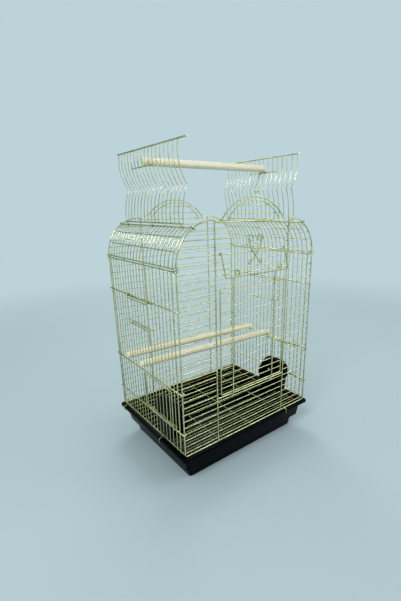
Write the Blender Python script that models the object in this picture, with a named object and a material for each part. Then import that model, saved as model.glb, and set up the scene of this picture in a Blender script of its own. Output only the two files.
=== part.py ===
"""Open-top parrot cage: brass-plated wire panels on a black plastic tray.

Units are metres. X runs along the long front, the front faces -Y and Z is up. The origin is
under the middle of the tray, on the surface that the cage stands on. Most sizes are given in
the cage's own measures: a from the left corner post, b from the front, h above the cage bottom.
"""

from math import asin, cos, pi, radians, sin, sqrt

import bmesh
import bpy
from mathutils import Matrix, Vector

# Overall cage
CAGE_WIDTH = 0.457
CAGE_DEPTH = 0.356
GAP = 0.0003
LOOP_GAP = 0.0004

# Wire sizes, as radii
THIN = 0.00105
RUNG = 0.0012
STOUT = 0.0016
POST = 0.0017

# Front and back panels
RUNG_PITCH = 0.018
FIRST_RUNG = 0.009
DOOR_POST_AT = 0.1055
SHOULDER_HEIGHT = 0.472
SHOULDER_RADIUS = 0.100
SILL_HEIGHT = 0.127
LINTEL_HEIGHT = 0.447
BAIL_PIVOT_HEIGHT = 0.495
GABLE_HALF_WIDTH = 0.105
ARCH_FOOT_RISE = 0.095
GABLE_RISE = 0.056
INNER_ARCH_HALF_WIDTH = 0.087
INNER_ARCH_DROP = 0.008

# Side walls
WALL_PITCH = 0.017
WALL_WIRES = 20
WALL_BOTTOM = 0.006
FEEDER_RAIL = 0.066
PERCH_RAIL = 0.177
DOOR_RAIL = 0.380
WALL_TOP_DROP = 0.004
ROOF_RAIL_RISE = 0.002

# Openings in the side walls, by the wires beside them
UPPER_OPENING = (6, 14)
UPPER_OPENING_LOW = 0.306
FEEDER_OPENING = (1, 10)
OPENING_MARGIN = 0.006

# Roof shoulders and flaps
SEAM_ANGLE = 58.3
FLAP_WIRES = 17
FLAP_EDGE = 0.035
FLAP_BAR_RISE = 0.0075
FLAP_LOWER_CHORD = 0.0905
FLAP_LOWER_LEAN = 9.0
FLAP_LOWER_BULGE = 0.005
FLAP_UPPER_CHORD = 0.087
FLAP_UPPER_LEAN = -12.1
FLAP_UPPER_BULGE = 0.009
FLAP_LONG_OVERHANG = 0.014
FLAP_SHORT_OVERHANG = 0.005
FLAP_HINGES = (1.5, 9.5, 17.5)
PERCH_REST_WIRES = (6, 12)
PERCH_REST_HEIGHT = 0.136
PERCH_REST_STANDOFF = 0.0035
PERCH_REST_BEND = 0.005

# Tray
TRAY_HEIGHT = 0.093
TRAY_WALL = 0.0025
TRAY_RIM = 0.011
TRAY_LIP = 0.005
TRAY_MOUTH_INSET = 0.003
TRAY_STEP_DEPTH = 0.055
TRAY_STEP_INSET = 0.010
TRAY_LEDGE = 0.013
TRAY_LEDGE_DROP = 0.006
TRAY_FOOT_INSET = 0.028
TRAY_CORNER = 0.020

# Floor grate
GRATE_WIRES = 14
GRATE_CROSS = (0.122, 0.240, 0.365)
GRATE_DEPTH = 0.010
GRATE_CORNER = 0.012

# Perches
PERCH_RADIUS = 0.0095
PERCH_BEVEL = 0.0012
PERCH_SLOT_WIDTH = 0.0036
PERCH_SLOT_DEPTH = 0.011
PERCH_OVERREACH = 0.0060
FRONT_PERCH_WIRES = (11, 9)
BACK_PERCH_WIRES = (16, 14)
TOP_PERCH_OFFSET = 0.020

# Seed cups
CUP_WIDTH = 0.090
CUP_DEPTH = 0.058
CUP_HEIGHT = 0.050
CUP_HOOD = 0.052
CUP_WALL = 0.0022
CUP_MIDDLE = 0.107
CUP_BOTTOM = 0.014
CUP_CORNER = 0.012
CUP_TAPER = 0.006
CUP_HOOD_SLOPE = 0.018
CUP_MOUTH_BACK = 0.022

# Front door and its bail
DOOR_STILE_AT = 0.117
DOOR_MEMBER_AT = 0.156
DOOR_TOP = 0.416
DOOR_FOOT = 0.1345
BAIL_ARM_AT = 0.121
BAIL_DROP = 0.053
BAIL_LEAN = 0.019
CURL_REACH = 0.009
DOOR_FRAME_OUT = 0.0018
MEMBER_CLEARANCE = 0.0012

# Small doors, latch, clips and scroll; a spiral is given by its turns and how far it closes in
SMALL_DOOR_WIRE = 0.0012
SCROLL_HEIGHT = 0.084
SCROLL_WIDTH = 0.048
SCROLL_HEAD = (1.1, 0.60)
SCROLL_TAIL = (1.0, 0.55)
LATCH_LENGTH = 0.058
LATCH_AT = 0.2065
LATCH_WIDTH = 0.017
LATCH_STANDOFF = 0.0042
CLIP_WIRES = (5.5, 18.5)
FRONT_CLIP_FROM_RIGHT = 0.093

HALF_W = CAGE_WIDTH / 2
HALF_D = CAGE_DEPTH / 2
CAGE_BOTTOM = TRAY_HEIGHT + GAP + POST
WALL_TOP = SHOULDER_HEIGHT - WALL_TOP_DROP
X = Vector((1, 0, 0))
Y = Vector((0, 1, 0))
Z = Vector((0, 0, 1))


def clear_scene():
    for obj in list(bpy.data.objects):
        bpy.data.objects.remove(obj)


def spot(a, b, h):
    """A point from its distance along the front, its distance back and its height on the cage."""
    return Vector((a - HALF_W, b - HALF_D, CAGE_BOTTOM + h))


def material(name, colour, roughness, metallic):
    made = bpy.data.materials.get(name)
    if made:
        return made
    made = bpy.data.materials.new(name)
    made.use_nodes = True
    shader = made.node_tree.nodes["Principled BSDF"]
    shader.inputs["Base Color"].default_value = (*colour, 1.0)
    shader.inputs["Roughness"].default_value = roughness
    shader.inputs["Metallic"].default_value = metallic
    return made


def brass():
    return material("brass plated wire", (0.72, 0.66, 0.27), 0.28, 1.0)


def dark_brass():
    return material("brass plated rod", (0.55, 0.50, 0.18), 0.30, 1.0)


def black_plastic():
    return material("black moulded plastic", (0.012, 0.013, 0.018), 0.32, 0.0)


def pale_wood():
    return material("pale dowel wood", (0.80, 0.72, 0.50), 0.62, 0.0)


def node(name, mesh, look):
    mesh.materials.clear()
    mesh.materials.append(look)
    obj = bpy.data.objects.new(name, mesh)
    bpy.context.collection.objects.link(obj)
    return obj


def helper(name, mesh):
    obj = bpy.data.objects.new(name, mesh)
    bpy.context.collection.objects.link(obj)
    obj.hide_render = True
    obj.display_type = "WIRE"
    return obj


def mesh_from(name, build):
    work = bmesh.new()
    build(work)
    mesh = bpy.data.meshes.new(name)
    work.to_mesh(mesh)
    work.free()
    return mesh


# Wire work
def tube(points, radius, sides=4, facing=None):
    """A wire along the points, its corners mitred, with a flat facet towards facing."""
    return [Vector(p) for p in points], radius, sides, facing


def add_tube(work, wire):
    points, radius, sides, facing = wire
    runs = [(q - p).normalized() for p, q in zip(points, points[1:])]
    facing = facing or (Z if abs(runs[0].z) < 0.9 else X)
    side = (facing - facing.dot(runs[0]) * runs[0]).normalized()
    other = runs[0].cross(side)
    ring = []
    for k in range(sides):
        angle = 2 * pi * (k + 0.5) / sides
        ring.append(points[0] + radius * (cos(angle) * side + sin(angle) * other))
    rows = [[work.verts.new(v) for v in ring]]
    for index, run in enumerate(runs):
        target = points[index + 1]
        after = runs[index + 1] if index + 1 < len(runs) else run
        plane = (run + after).normalized()
        ring = [v + run * ((target - v).dot(plane) / run.dot(plane)) for v in ring]
        rows.append([work.verts.new(v) for v in ring])
    for low, high in zip(rows, rows[1:]):
        for k in range(sides):
            work.faces.new((low[k], low[(k + 1) % sides], high[(k + 1) % sides], high[k]))
    work.faces.new(list(reversed(rows[0])))
    work.faces.new(rows[-1])


def wires_mesh(name, wires):
    def build(work):
        for wire in wires:
            add_tube(work, wire)

    return mesh_from(name, build)


def weld(name, wires, look):
    """One solid from crossing wires: the first is kept and the others are joined to it."""
    obj = node(name, wires_mesh(name, wires[:1]), look)
    if len(wires) > 1:
        rest = helper(name + "_wires", wires_mesh(name + "_wires", wires[1:]))
        join = obj.modifiers.new("weld", "BOOLEAN")
        join.operation = "UNION"
        join.solver = "EXACT"
        join.use_self = True
        join.object = rest
    return obj


def arc(centre, radius, start, end, steps, across, up):
    """Points on an arc, with angles in degrees from the across direction towards up."""
    found = []
    for k in range(steps + 1):
        angle = radians(start + (end - start) * k / steps)
        found.append(centre + radius * (cos(angle) * across + sin(angle) * up))
    return found


def loop_radius(inner, own, step):
    """The radius at which a loop's straight facets clear the wire that it goes round."""
    return (inner + LOOP_GAP + own) / cos(radians(step / 2))


def shoulder_a(h, radius=SHOULDER_RADIUS):
    """How far in the shoulder's arc lies at this height."""
    rise = max(h - SHOULDER_HEIGHT, 0.0)
    return SHOULDER_RADIUS - sqrt(max(radius**2 - rise**2, 0.0))


def rung_heights(low, high):
    count = int((high - FIRST_RUNG) / RUNG_PITCH + 1e-6)
    heights = [FIRST_RUNG + RUNG_PITCH * k for k in range(count + 1)]
    return [h for h in heights if low < h <= high]


def mirrored(points):
    return [Vector((-p.x, p.y, p.z)) for p in points]


def mirror_wires(wires):
    """The same wires on the other side of the cage's middle."""
    return [tube(mirrored(points), radius, sides, facing) for points, radius, sides, facing in wires]


# Arches of the gables
ARCH_FOOT = SHOULDER_HEIGHT + ARCH_FOOT_RISE
GABLE_TOP = ARCH_FOOT + GABLE_RISE
INNER_RISE = GABLE_RISE - INNER_ARCH_DROP


def arch_radius(half_width, rise):
    return (half_width**2 + rise**2) / (2 * rise)


def arch_points(half_width, rise, b, steps):
    radius = arch_radius(half_width, rise)
    centre = spot(HALF_W, b, ARCH_FOOT + rise - radius)
    reach = 180 / pi * asin(half_width / radius)
    return arc(centre, radius, 90 + reach, 90 - reach, steps, X, Z)


def arch_half_at(h, half_width, rise):
    radius = arch_radius(half_width, rise)
    above = h - (ARCH_FOOT + rise - radius)
    return sqrt(max(radius**2 - above**2, 0.0))


def gable_wires(b):
    """The double arch and the rungs that fill it."""
    wires = [
        tube(arch_points(GABLE_HALF_WIDTH, GABLE_RISE, b, 9), STOUT, 6, Z),
        tube(arch_points(INNER_ARCH_HALF_WIDTH, INNER_RISE, b, 8), RUNG, 4, Z),
    ]
    for h in rung_heights(ARCH_FOOT + 0.001, GABLE_TOP - 0.012):
        half = arch_half_at(h, GABLE_HALF_WIDTH, GABLE_RISE)
        wires.append(tube([spot(HALF_W - half, b, h), spot(HALF_W + half, b, h)], THIN))
    return wires


# Front panel, in four flat grilles round the doorway
SHOULDER_TAIL = 90 + 180 / pi * asin((DOOR_POST_AT - SHOULDER_RADIUS) / SHOULDER_RADIUS)


def shoulder_arc(b, end_angle, steps, radius=SHOULDER_RADIUS):
    """The left shoulder's arc, from the corner post towards the top."""
    centre = spot(SHOULDER_RADIUS, b, SHOULDER_HEIGHT)
    return arc(centre, radius, 0, end_angle, steps, -X, Z)


def side_grille_wires(b):
    outline = [spot(DOOR_POST_AT, b, 0), spot(0, b, 0)]
    outline += shoulder_arc(b, SHOULDER_TAIL, 8)
    post_top = outline[-1].copy()
    wires = [
        tube(outline, POST, 6, Z),
        tube([spot(DOOR_POST_AT, b, 0), post_top], POST, 6, X),
    ]
    for h in rung_heights(0.001, SHOULDER_HEIGHT + 0.8 * SHOULDER_RADIUS):
        wires.append(tube([spot(shoulder_a(h), b, h), spot(DOOR_POST_AT, b, h)], THIN))
    return wires


def make_front():
    left = side_grille_wires(0)
    weld("front_left_grille", left, brass())
    weld("front_right_grille", mirror_wires(left), brass())

    edge = DOOR_POST_AT + POST + GAP + RUNG
    low = [
        tube([spot(edge, 0, 0), spot(edge, 0, SILL_HEIGHT)], RUNG, 4, Y),
        tube([spot(CAGE_WIDTH - edge, 0, 0), spot(CAGE_WIDTH - edge, 0, SILL_HEIGHT)], RUNG, 4, Y),
    ]
    outer = DOOR_POST_AT + POST + GAP
    for h in [0, SILL_HEIGHT]:
        low.append(tube([spot(outer, 0, h), spot(CAGE_WIDTH - outer, 0, h)], POST, 6, Z))
    for h in rung_heights(0.001, SILL_HEIGHT - POST):
        low.append(tube([spot(edge, 0, h), spot(CAGE_WIDTH - edge, 0, h)], THIN))
    weld("front_sill_grille", low, brass())

    high = []
    for a in (edge, CAGE_WIDTH - edge):
        high.append(tube([spot(a, 0, LINTEL_HEIGHT), spot(a, 0, ARCH_FOOT)], RUNG, 4, Y))
    for h, size, sides in [
        (LINTEL_HEIGHT, STOUT, 6),
        (BAIL_PIVOT_HEIGHT, STOUT, 6),
        (ARCH_FOOT, STOUT, 6),
    ]:
        high.append(tube([spot(outer, 0, h), spot(CAGE_WIDTH - outer, 0, h)], size, sides, Z))
    for h in rung_heights(LINTEL_HEIGHT + 0.004, ARCH_FOOT - 0.001):
        if abs(h - BAIL_PIVOT_HEIGHT) > STOUT + THIN:
            high.append(tube([spot(edge, 0, h), spot(CAGE_WIDTH - edge, 0, h)], THIN))
    weld("front_gable_grille", high + gable_wires(0), brass())


def make_back():
    b = CAGE_DEPTH
    tail = SHOULDER_TAIL + 2
    left = shoulder_arc(b, tail, 9)
    outline = [spot(HALF_W, b, 0), spot(0, b, 0)] + left
    outline.append(spot(HALF_W - GABLE_HALF_WIDTH, b, ARCH_FOOT))
    wires = [tube(outline, POST, 6, Z), tube(mirrored(outline), POST, 6, Z)]
    for h in rung_heights(0.001, SHOULDER_HEIGHT + 0.8 * SHOULDER_RADIUS):
        inset = shoulder_a(h)
        wires.append(tube([spot(inset, b, h), spot(CAGE_WIDTH - inset, b, h)], THIN))
    foot = HALF_W - GABLE_HALF_WIDTH
    wires.append(tube([spot(foot, b, ARCH_FOOT), spot(CAGE_WIDTH - foot, b, ARCH_FOOT)], STOUT, 4))
    layer = POST + THIN + GAP
    top = SHOULDER_HEIGHT + SHOULDER_RADIUS
    for a in (DOOR_POST_AT, CAGE_WIDTH - DOOR_POST_AT):
        upright = [
            spot(a, b, 0),
            spot(a, b + layer, 0.004),
            spot(a, b + layer, top - 0.006),
            spot(a, b, top - 0.001),
        ]
        wires.append(tube(upright, STOUT, 6, X))
    weld("back_panel", wires + gable_wires(b), brass())


# Side walls
CURL_STEPS = 4
CURL_TURN = 225
CURL_STEP = CURL_TURN / CURL_STEPS
CURL = loop_radius(POST, STOUT, CURL_STEP)
EDGE_SHIFT = CURL / 2
LOOP_STEPS = 5
LOOP_TURN = 270
LOOP_STEP = LOOP_TURN / LOOP_STEPS


def wall_wire_b(k):
    margin = (CAGE_DEPTH - WALL_PITCH * (WALL_WIRES - 1)) / 2
    return margin + WALL_PITCH * k


def curled_bar(h, a, outward, offset):
    """A bar from front to back whose ends curl round the front and back panels' wires."""
    front = spot(a, 0, h)
    ring = arc(front, CURL, CURL_TURN, 0, CURL_STEPS, outward, -Y)
    inner = []
    if offset < CURL:
        inner = [spot(a, 0.010, h) + outward * offset]
    half = ring + inner
    back = [Vector((p.x, -p.y, p.z)) for p in reversed(half)]
    return half + back


def wall_segments(k):
    """The heights between which this wire of the wall runs, left open at the two small doors."""
    cuts = []
    first, last = UPPER_OPENING
    if first < k < last:
        cuts.append((UPPER_OPENING_LOW, DOOR_RAIL - OPENING_MARGIN))
    first, last = FEEDER_OPENING
    if first < k < last:
        cuts.append((FEEDER_RAIL + OPENING_MARGIN, PERCH_RAIL - OPENING_MARGIN))
    low = WALL_BOTTOM
    found = []
    for start, end in sorted(cuts):
        found.append((low, start))
        low = end
    found.append((low, WALL_TOP))
    return found


def wall_wires():
    """The left wall."""
    wires = []
    ends = POST + GAP
    bottom = [spot(0, ends, WALL_BOTTOM), spot(0, CAGE_DEPTH - ends, WALL_BOTTOM)]
    wires.append(tube(bottom, STOUT, 5, Z))
    wires.append(tube(curled_bar(WALL_TOP, 0, -X, 0), STOUT, 5, -Z))
    for h in (FEEDER_RAIL, PERCH_RAIL, DOOR_RAIL):
        wires.append(tube(curled_bar(h, 0, -X, CURL), STOUT, 5, Z))
    for k in range(WALL_WIRES):
        b = wall_wire_b(k)
        edge = k in (0, WALL_WIRES - 1)
        a = -EDGE_SHIFT if edge else 0
        size = STOUT if edge else THIN
        for low, high in wall_segments(k):
            wires.append(tube([spot(a, b, low), spot(a, b, high)], size, 4, Y))
    openings = (
        (UPPER_OPENING, (UPPER_OPENING_LOW, DOOR_RAIL - OPENING_MARGIN)),
        (FEEDER_OPENING, (FEEDER_RAIL + OPENING_MARGIN, PERCH_RAIL - OPENING_MARGIN)),
    )
    for (first, last), heights in openings:
        for h in heights:
            wires.append(tube([spot(0, wall_wire_b(first), h), spot(0, wall_wire_b(last), h)], RUNG, 4, Z))
    return wires


def make_walls():
    left = wall_wires()
    weld("left_wall", left, brass())
    weld("right_wall", mirror_wires(left), brass())


# Roof shoulders
def roof_direction(angle):
    return Vector((-cos(radians(angle)), 0, sin(radians(angle))))


def roof_spot(angle, b, radius=SHOULDER_RADIUS):
    return spot(SHOULDER_RADIUS, b, SHOULDER_HEIGHT) + roof_direction(angle) * radius


def roof_bar(angle):
    """A bar of the roof that follows the shoulder and curls round the shoulder arcs."""
    outward = roof_direction(angle)
    front = roof_spot(angle, 0)
    half = arc(front, CURL, CURL_TURN, 0, CURL_STEPS, outward, -Y)
    half.append(roof_spot(angle, 0.010))
    back = [Vector((p.x, -p.y, p.z)) for p in reversed(half)]
    return half + back


ROOF_RAIL_ANGLE = 180 / pi * asin(ROOF_RAIL_RISE / SHOULDER_RADIUS)


def roof_wires():
    """The left shoulder."""
    wires = [
        tube(roof_bar(ROOF_RAIL_ANGLE), STOUT, 5, Z),
        tube(roof_bar(SEAM_ANGLE), STOUT, 5, -Z),
    ]
    steps = 3
    for k in range(WALL_WIRES):
        b = wall_wire_b(k)
        run = []
        for s in range(steps + 1):
            run.append(roof_spot(ROOF_RAIL_ANGLE + (SEAM_ANGLE - ROOF_RAIL_ANGLE) * s / steps, b))
        wires.append(tube(run, THIN, 4, Y))
    first, last = wall_wire_b(0), wall_wire_b(WALL_WIRES - 1)
    for share in (0.36, 0.7):
        angle = ROOF_RAIL_ANGLE + (SEAM_ANGLE - ROOF_RAIL_ANGLE) * share
        proud = SHOULDER_RADIUS + 2 * THIN + GAP
        run = [
            roof_spot(angle, first),
            roof_spot(angle, first + 0.005, proud),
            roof_spot(angle, last - 0.005, proud),
            roof_spot(angle, last),
        ]
        wires.append(tube(run, THIN, 4, Z))
    return wires


def make_roof():
    left = roof_wires()
    weld("left_roof", left, brass())
    weld("right_roof", mirror_wires(left), brass())


# Roof flaps, standing open
SEAM = roof_spot(SEAM_ANGLE, CAGE_DEPTH / 2)


def flap_wire_b(k):
    return FLAP_EDGE + (CAGE_DEPTH - 2 * FLAP_EDGE) * k / (FLAP_WIRES - 1)


def lobe(start, lean, chord, bulge, steps):
    """A shallow arc of a flap wire, from start, leaning in by lean degrees and bulging outwards."""
    along = Vector((sin(radians(lean)), 0, cos(radians(lean))))
    out = Vector((-along.z, 0, along.x))
    found = []
    for s in range(steps + 1):
        t = s / steps
        found.append(start + along * (chord * t) + out * (4 * bulge * t * (1 - t)))
    return found


def flap_profile():
    start = SEAM + Z * FLAP_BAR_RISE
    lower = lobe(start, FLAP_LOWER_LEAN, FLAP_LOWER_CHORD - FLAP_BAR_RISE, FLAP_LOWER_BULGE, 2)
    upper = lobe(lower[-1], FLAP_UPPER_LEAN, FLAP_UPPER_CHORD, FLAP_UPPER_BULGE, 3)
    return lower + upper[1:]


def at_depth(point, b):
    return Vector((point.x, b - HALF_D, point.z))


def flap_point_at(height):
    """The point of the flap's profile at this height above its hinge."""
    profile = flap_profile()
    level = SEAM.z + height
    for low, high in zip(profile, profile[1:]):
        if low.z <= level <= high.z:
            return low.lerp(high, (level - low.z) / (high.z - low.z))
    return profile[-1]


def hinge_loop(b, arm_end):
    """A loop round the seam bar, and the short arm that leaves it."""
    radius = loop_radius(STOUT, RUNG, LOOP_STEP)
    ring = arc(at_depth(SEAM, b), radius, -LOOP_TURN, 0, LOOP_STEPS, -X, Z)
    return ring + [at_depth(arm_end, b)]


def flap_wires():
    """The left flap."""
    profile = flap_profile()
    base, tip = profile[0], profile[-1]
    first, last = flap_wire_b(0), flap_wire_b(FLAP_WIRES - 1)
    hinges = [wall_wire_b(k) for k in FLAP_HINGES]
    low_end, high_end = min(first, hinges[0]) - THIN, max(last, hinges[-1]) + THIN
    tip_ends = (first - FLAP_LONG_OVERHANG, last + FLAP_SHORT_OVERHANG)
    wires = [
        tube([at_depth(base, low_end), at_depth(base, high_end)], STOUT, 5, Z),
        tube([at_depth(tip, b) for b in tip_ends], STOUT, 5, -Z),
    ]
    for k in range(FLAP_WIRES):
        b = flap_wire_b(k)
        wires.append(tube([at_depth(p, b) for p in profile], THIN, 4, Y))
    rest = flap_point_at(PERCH_REST_HEIGHT)
    proud = rest + X * PERCH_REST_STANDOFF
    low, high = (flap_wire_b(k) for k in PERCH_REST_WIRES)
    run = [at_depth(rest, low), at_depth(proud, low + PERCH_REST_BEND)]
    run += [at_depth(proud, high - PERCH_REST_BEND), at_depth(rest, high)]
    wires.append(tube(run, RUNG, 4, Z))
    for b in hinges:
        wires.append(tube(hinge_loop(b, base - X * GAP), RUNG, 4, Y))
    return wires


def half_turn(wires):
    """The same wires turned half round the cage's upright middle line."""
    turned = []
    for points, radius, sides, facing in wires:
        turned.append(tube([Vector((-p.x, -p.y, p.z)) for p in points], radius, sides, facing))
    return turned


def make_flaps():
    left = flap_wires()
    weld("left_flap", left, brass())
    weld("right_flap", half_turn(left), brass())


def make_latch():
    """The closing loop that hangs from the right flap's perch rest."""
    rest = flap_point_at(PERCH_REST_HEIGHT) + X * PERCH_REST_STANDOFF
    kink = flap_point_at(FLAP_LOWER_CHORD * cos(radians(FLAP_LOWER_LEAN)))
    low = rest + (kink + X * LATCH_STANDOFF - rest).normalized() * LATCH_LENGTH
    radius = loop_radius(RUNG, THIN, LOOP_STEP)
    away = (low - rest).normalized()
    side = Vector((away.z, 0, -away.x))
    side = side if side.x > 0 else -side
    b0, b1 = LATCH_AT - LATCH_WIDTH, LATCH_AT
    ring = arc(at_depth(rest, b0), radius, LOOP_TURN, 0, LOOP_STEPS, side, -away)
    stem = at_depth(rest, b0) + side * radius + away * LATCH_LENGTH
    first = ring + [stem]
    second = [p + Y * (b1 - b0) for p in reversed(first)]
    weld("top_latch", half_turn([tube(first + second, THIN, 4, Y)]), dark_brass())


# Front door: drops outwards about the sill
FRONT = -Y


def make_door():
    member_loop = loop_radius(POST, STOUT, CURL_STEP)
    top_of_member = BAIL_PIVOT_HEIGHT - BAIL_DROP - STOUT - RUNG - MEMBER_CLEARANCE
    wires = []
    stiles = (DOOR_STILE_AT, CAGE_WIDTH - DOOR_STILE_AT)
    outline = []
    for a, h in [
        (stiles[0], DOOR_FOOT),
        (stiles[0], DOOR_TOP),
        (stiles[1], DOOR_TOP),
        (stiles[1], DOOR_FOOT),
    ]:
        outline.append(spot(a, -DOOR_FRAME_OUT, h))
    wires.append(tube(outline, STOUT, 6, X))
    wires.append(tube([outline[0], outline[-1]], STOUT, 6, Z))
    for h in rung_heights(DOOR_FOOT + 0.006, DOOR_TOP - 0.006):
        wires.append(tube([spot(stiles[0], 0, h), spot(stiles[1], 0, h)], THIN))
    for a in (DOOR_MEMBER_AT, CAGE_WIDTH - DOOR_MEMBER_AT):
        run = arc(spot(a, 0, SILL_HEIGHT), member_loop, CURL_TURN, 0, CURL_STEPS, FRONT, -Z)
        run.append(spot(a, -member_loop, top_of_member))
        wires.append(tube(run, STOUT, 6, X))
    weld("front_door", wires, brass())


def pigtail(centre, radius, start, turns, across, up, steps, shrink):
    """A flat spiral that starts at its outer end."""
    found = []
    for k in range(steps + 1):
        t = k / steps
        angle = radians(start + 360 * turns * t)
        reach = radius * (1 - shrink * t)
        found.append(centre + reach * (cos(angle) * across + sin(angle) * up))
    return found


def make_bail():
    """The loop that drops over the top of the front door."""
    loop = loop_radius(STOUT, RUNG, CURL_STEP)
    pivot = spot(BAIL_ARM_AT, 0, BAIL_PIVOT_HEIGHT)
    ring = arc(pivot, loop, CURL_TURN, 0, CURL_STEPS, FRONT, Z)
    foot = spot(BAIL_ARM_AT, -BAIL_LEAN, BAIL_PIVOT_HEIGHT - BAIL_DROP)
    left = ring + [foot]
    wires = [tube(left + mirrored(reversed(left)), RUNG, 5, X)]
    for a in (DOOR_MEMBER_AT, CAGE_WIDTH - DOOR_MEMBER_AT):
        seat = spot(a, -BAIL_LEAN, BAIL_PIVOT_HEIGHT - BAIL_DROP)
        curl = pigtail(seat + Z * CURL_REACH, CURL_REACH, -90, 1.3, X, Z, 10, 0.62)
        wires.append(tube(curl, THIN, 4, Y))
    weld("door_bail", wires, dark_brass())


def make_scroll():
    """The crossed scrolls wired to the front of the gable."""
    layer = -(STOUT + GAP + THIN)
    middle = spot(HALF_W, layer, LINTEL_HEIGHT + 0.012)
    half = SCROLL_WIDTH / 2
    top, low = SCROLL_HEIGHT * 0.80, SCROLL_HEIGHT * 0.13
    big, small = SCROLL_WIDTH * 0.21, SCROLL_WIDTH * 0.12
    turns, closing = SCROLL_HEAD
    head = pigtail(middle - X * (half - big) + Z * top, big, 0, turns, -X, Z, 8, closing)
    head.reverse()
    turns, closing = SCROLL_TAIL
    tail = pigtail(middle + X * (half - small) + Z * low, small, -90, turns, X, Z, 6, closing)
    elbow = middle - X * (half * 0.42) + Z * (SCROLL_HEIGHT * 0.46)
    stroke = head + [elbow] + tail
    weld("front_scroll", [tube(stroke, THIN, 4, Y), tube(mirrored(stroke), THIN, 4, Y)], dark_brass())


# Small side doors, outside the wall
RAIL_OUT = CURL
DOOR_LOOP = loop_radius(STOUT, SMALL_DOOR_WIRE, LOOP_STEP)
DOOR_OUT = RAIL_OUT + DOOR_LOOP


def upper_door_wires():
    first, last = UPPER_OPENING
    b0 = wall_wire_b(first + 1) - 0.004
    b1 = wall_wire_b(last - 1) + 0.004
    low = UPPER_OPENING_LOW - 0.003
    high = DOOR_RAIL - 0.008
    wires = []
    for b in (b0, b1):
        ring = arc(spot(-RAIL_OUT, b, DOOR_RAIL), DOOR_LOOP, LOOP_TURN, 0, LOOP_STEPS, -X, Z)
        wires.append(tube(ring + [spot(-DOOR_OUT, b, low)], SMALL_DOOR_WIRE, 4, Y))
    tab = pigtail(spot(-DOOR_OUT, b0 - 0.004, low + 0.004), 0.004, -90, 0.8, -Y, Z, 6, 0.3)
    bottom = [spot(-DOOR_OUT, b1, low), spot(-DOOR_OUT, b0, low)] + tab
    wires.append(tube(bottom, SMALL_DOOR_WIRE, 4, X))
    wires.append(tube([spot(-DOOR_OUT, b0, high), spot(-DOOR_OUT, b1, high)], SMALL_DOOR_WIRE, 4, X))
    for k in range(first + 2, last - 1):
        b = wall_wire_b(k)
        wires.append(tube([spot(-DOOR_OUT, b, low), spot(-DOOR_OUT, b, high)], THIN, 4, Y))
    return wires


def feeder_door_wires():
    first, last = FEEDER_OPENING
    b0 = wall_wire_b(first) + 0.004
    b1 = wall_wire_b(last) - 0.008
    low = FEEDER_RAIL + 0.008
    high = PERCH_RAIL - 0.005
    wires = []
    for b in (b0, b1):
        ring = arc(spot(-RAIL_OUT, b, FEEDER_RAIL), DOOR_LOOP, LOOP_TURN, 0, LOOP_STEPS, -X, -Z)
        wires.append(tube(ring + [spot(-DOOR_OUT, b, high)], SMALL_DOOR_WIRE, 4, Y))
    wires.append(tube([spot(-DOOR_OUT, b0, low), spot(-DOOR_OUT, b1, low)], SMALL_DOOR_WIRE, 4, X))
    catch_b = b0 + 0.012
    catch = pigtail(spot(-DOOR_OUT, catch_b, high + 0.007), 0.006, -90, 0.85, Y, Z, 6, 0.4)
    wires.append(tube([spot(-DOOR_OUT, b0, high), spot(-DOOR_OUT, b1, high)], SMALL_DOOR_WIRE, 4, X))
    wires.append(tube([spot(-DOOR_OUT, catch_b, high)] + catch, SMALL_DOOR_WIRE, 4, X))
    for k in range(first + 1, last):
        b = wall_wire_b(k)
        wires.append(tube([spot(-DOOR_OUT, b, low), spot(-DOOR_OUT, b, high)], THIN, 4, Y))
    return wires


def make_side_doors():
    for name, wires in (("upper_door", upper_door_wires()), ("feeder_door", feeder_door_wires())):
        weld("left_" + name, wires, brass())
        weld("right_" + name, mirror_wires(wires), brass())


# Tray and what lies in it
def rounded_ring(half_x, half_y, corner, z, steps=3):
    """Points of a rounded rectangle, anticlockwise."""
    found = []
    for cx, cy, start in ((1, 1, 0), (-1, 1, 90), (-1, -1, 180), (1, -1, 270)):
        centre = Vector((cx * (half_x - corner), cy * (half_y - corner), z))
        found += arc(centre, corner, start, start + 90, steps, X, Y)
    return found


def loft(work, rings, close_start=True, close_end=True):
    rows = [[work.verts.new(p) for p in ring] for ring in rings]
    for low, high in zip(rows, rows[1:]):
        count = len(low)
        for k in range(count):
            work.faces.new((low[k], low[(k + 1) % count], high[(k + 1) % count], high[k]))
    if close_start:
        work.faces.new(list(reversed(rows[0])))
    if close_end:
        work.faces.new(rows[-1])


def tray_level(offset, z):
    """A level of the tray at this offset outside the cage's wires, with its corner to match."""
    corner = max(TRAY_CORNER + offset * 0.6, 0.004)
    return rounded_ring(HALF_W + offset, HALF_D + offset, corner, z)


def make_tray():
    t = TRAY_WALL
    top = TRAY_HEIGHT
    mouth = -TRAY_MOUTH_INSET
    step = -TRAY_STEP_INSET
    ledge = step - TRAY_LEDGE
    foot = -TRAY_FOOT_INSET
    step_z = top - TRAY_STEP_DEPTH
    ledge_z = step_z - TRAY_LEDGE_DROP
    outside = [
        (foot, 0.0),
        (ledge, ledge_z),
        (step, step_z),
        (mouth, top - t - 0.004),
        (mouth + 0.004, top - t),
        (TRAY_RIM - t, top - t),
        (TRAY_RIM - t, top - t - TRAY_LIP),
        (TRAY_RIM, top - t - TRAY_LIP),
        (TRAY_RIM, top - 0.001),
        (TRAY_RIM - 0.001, top),
    ]
    inside = [
        (mouth - t + 0.003, top),
        (mouth - t, top - 0.004),
        (step - t, step_z + t * 0.6),
        (ledge - t, ledge_z + t * 0.6),
        (foot - t, t),
    ]

    def build(work):
        loft(work, [tray_level(offset, z) for offset, z in outside + inside])

    mesh = mesh_from("tray", build)
    obj = node("tray", mesh, black_plastic())
    mesh.shade_smooth()
    mesh.set_sharp_from_angle(angle=radians(35))
    return obj


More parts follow.
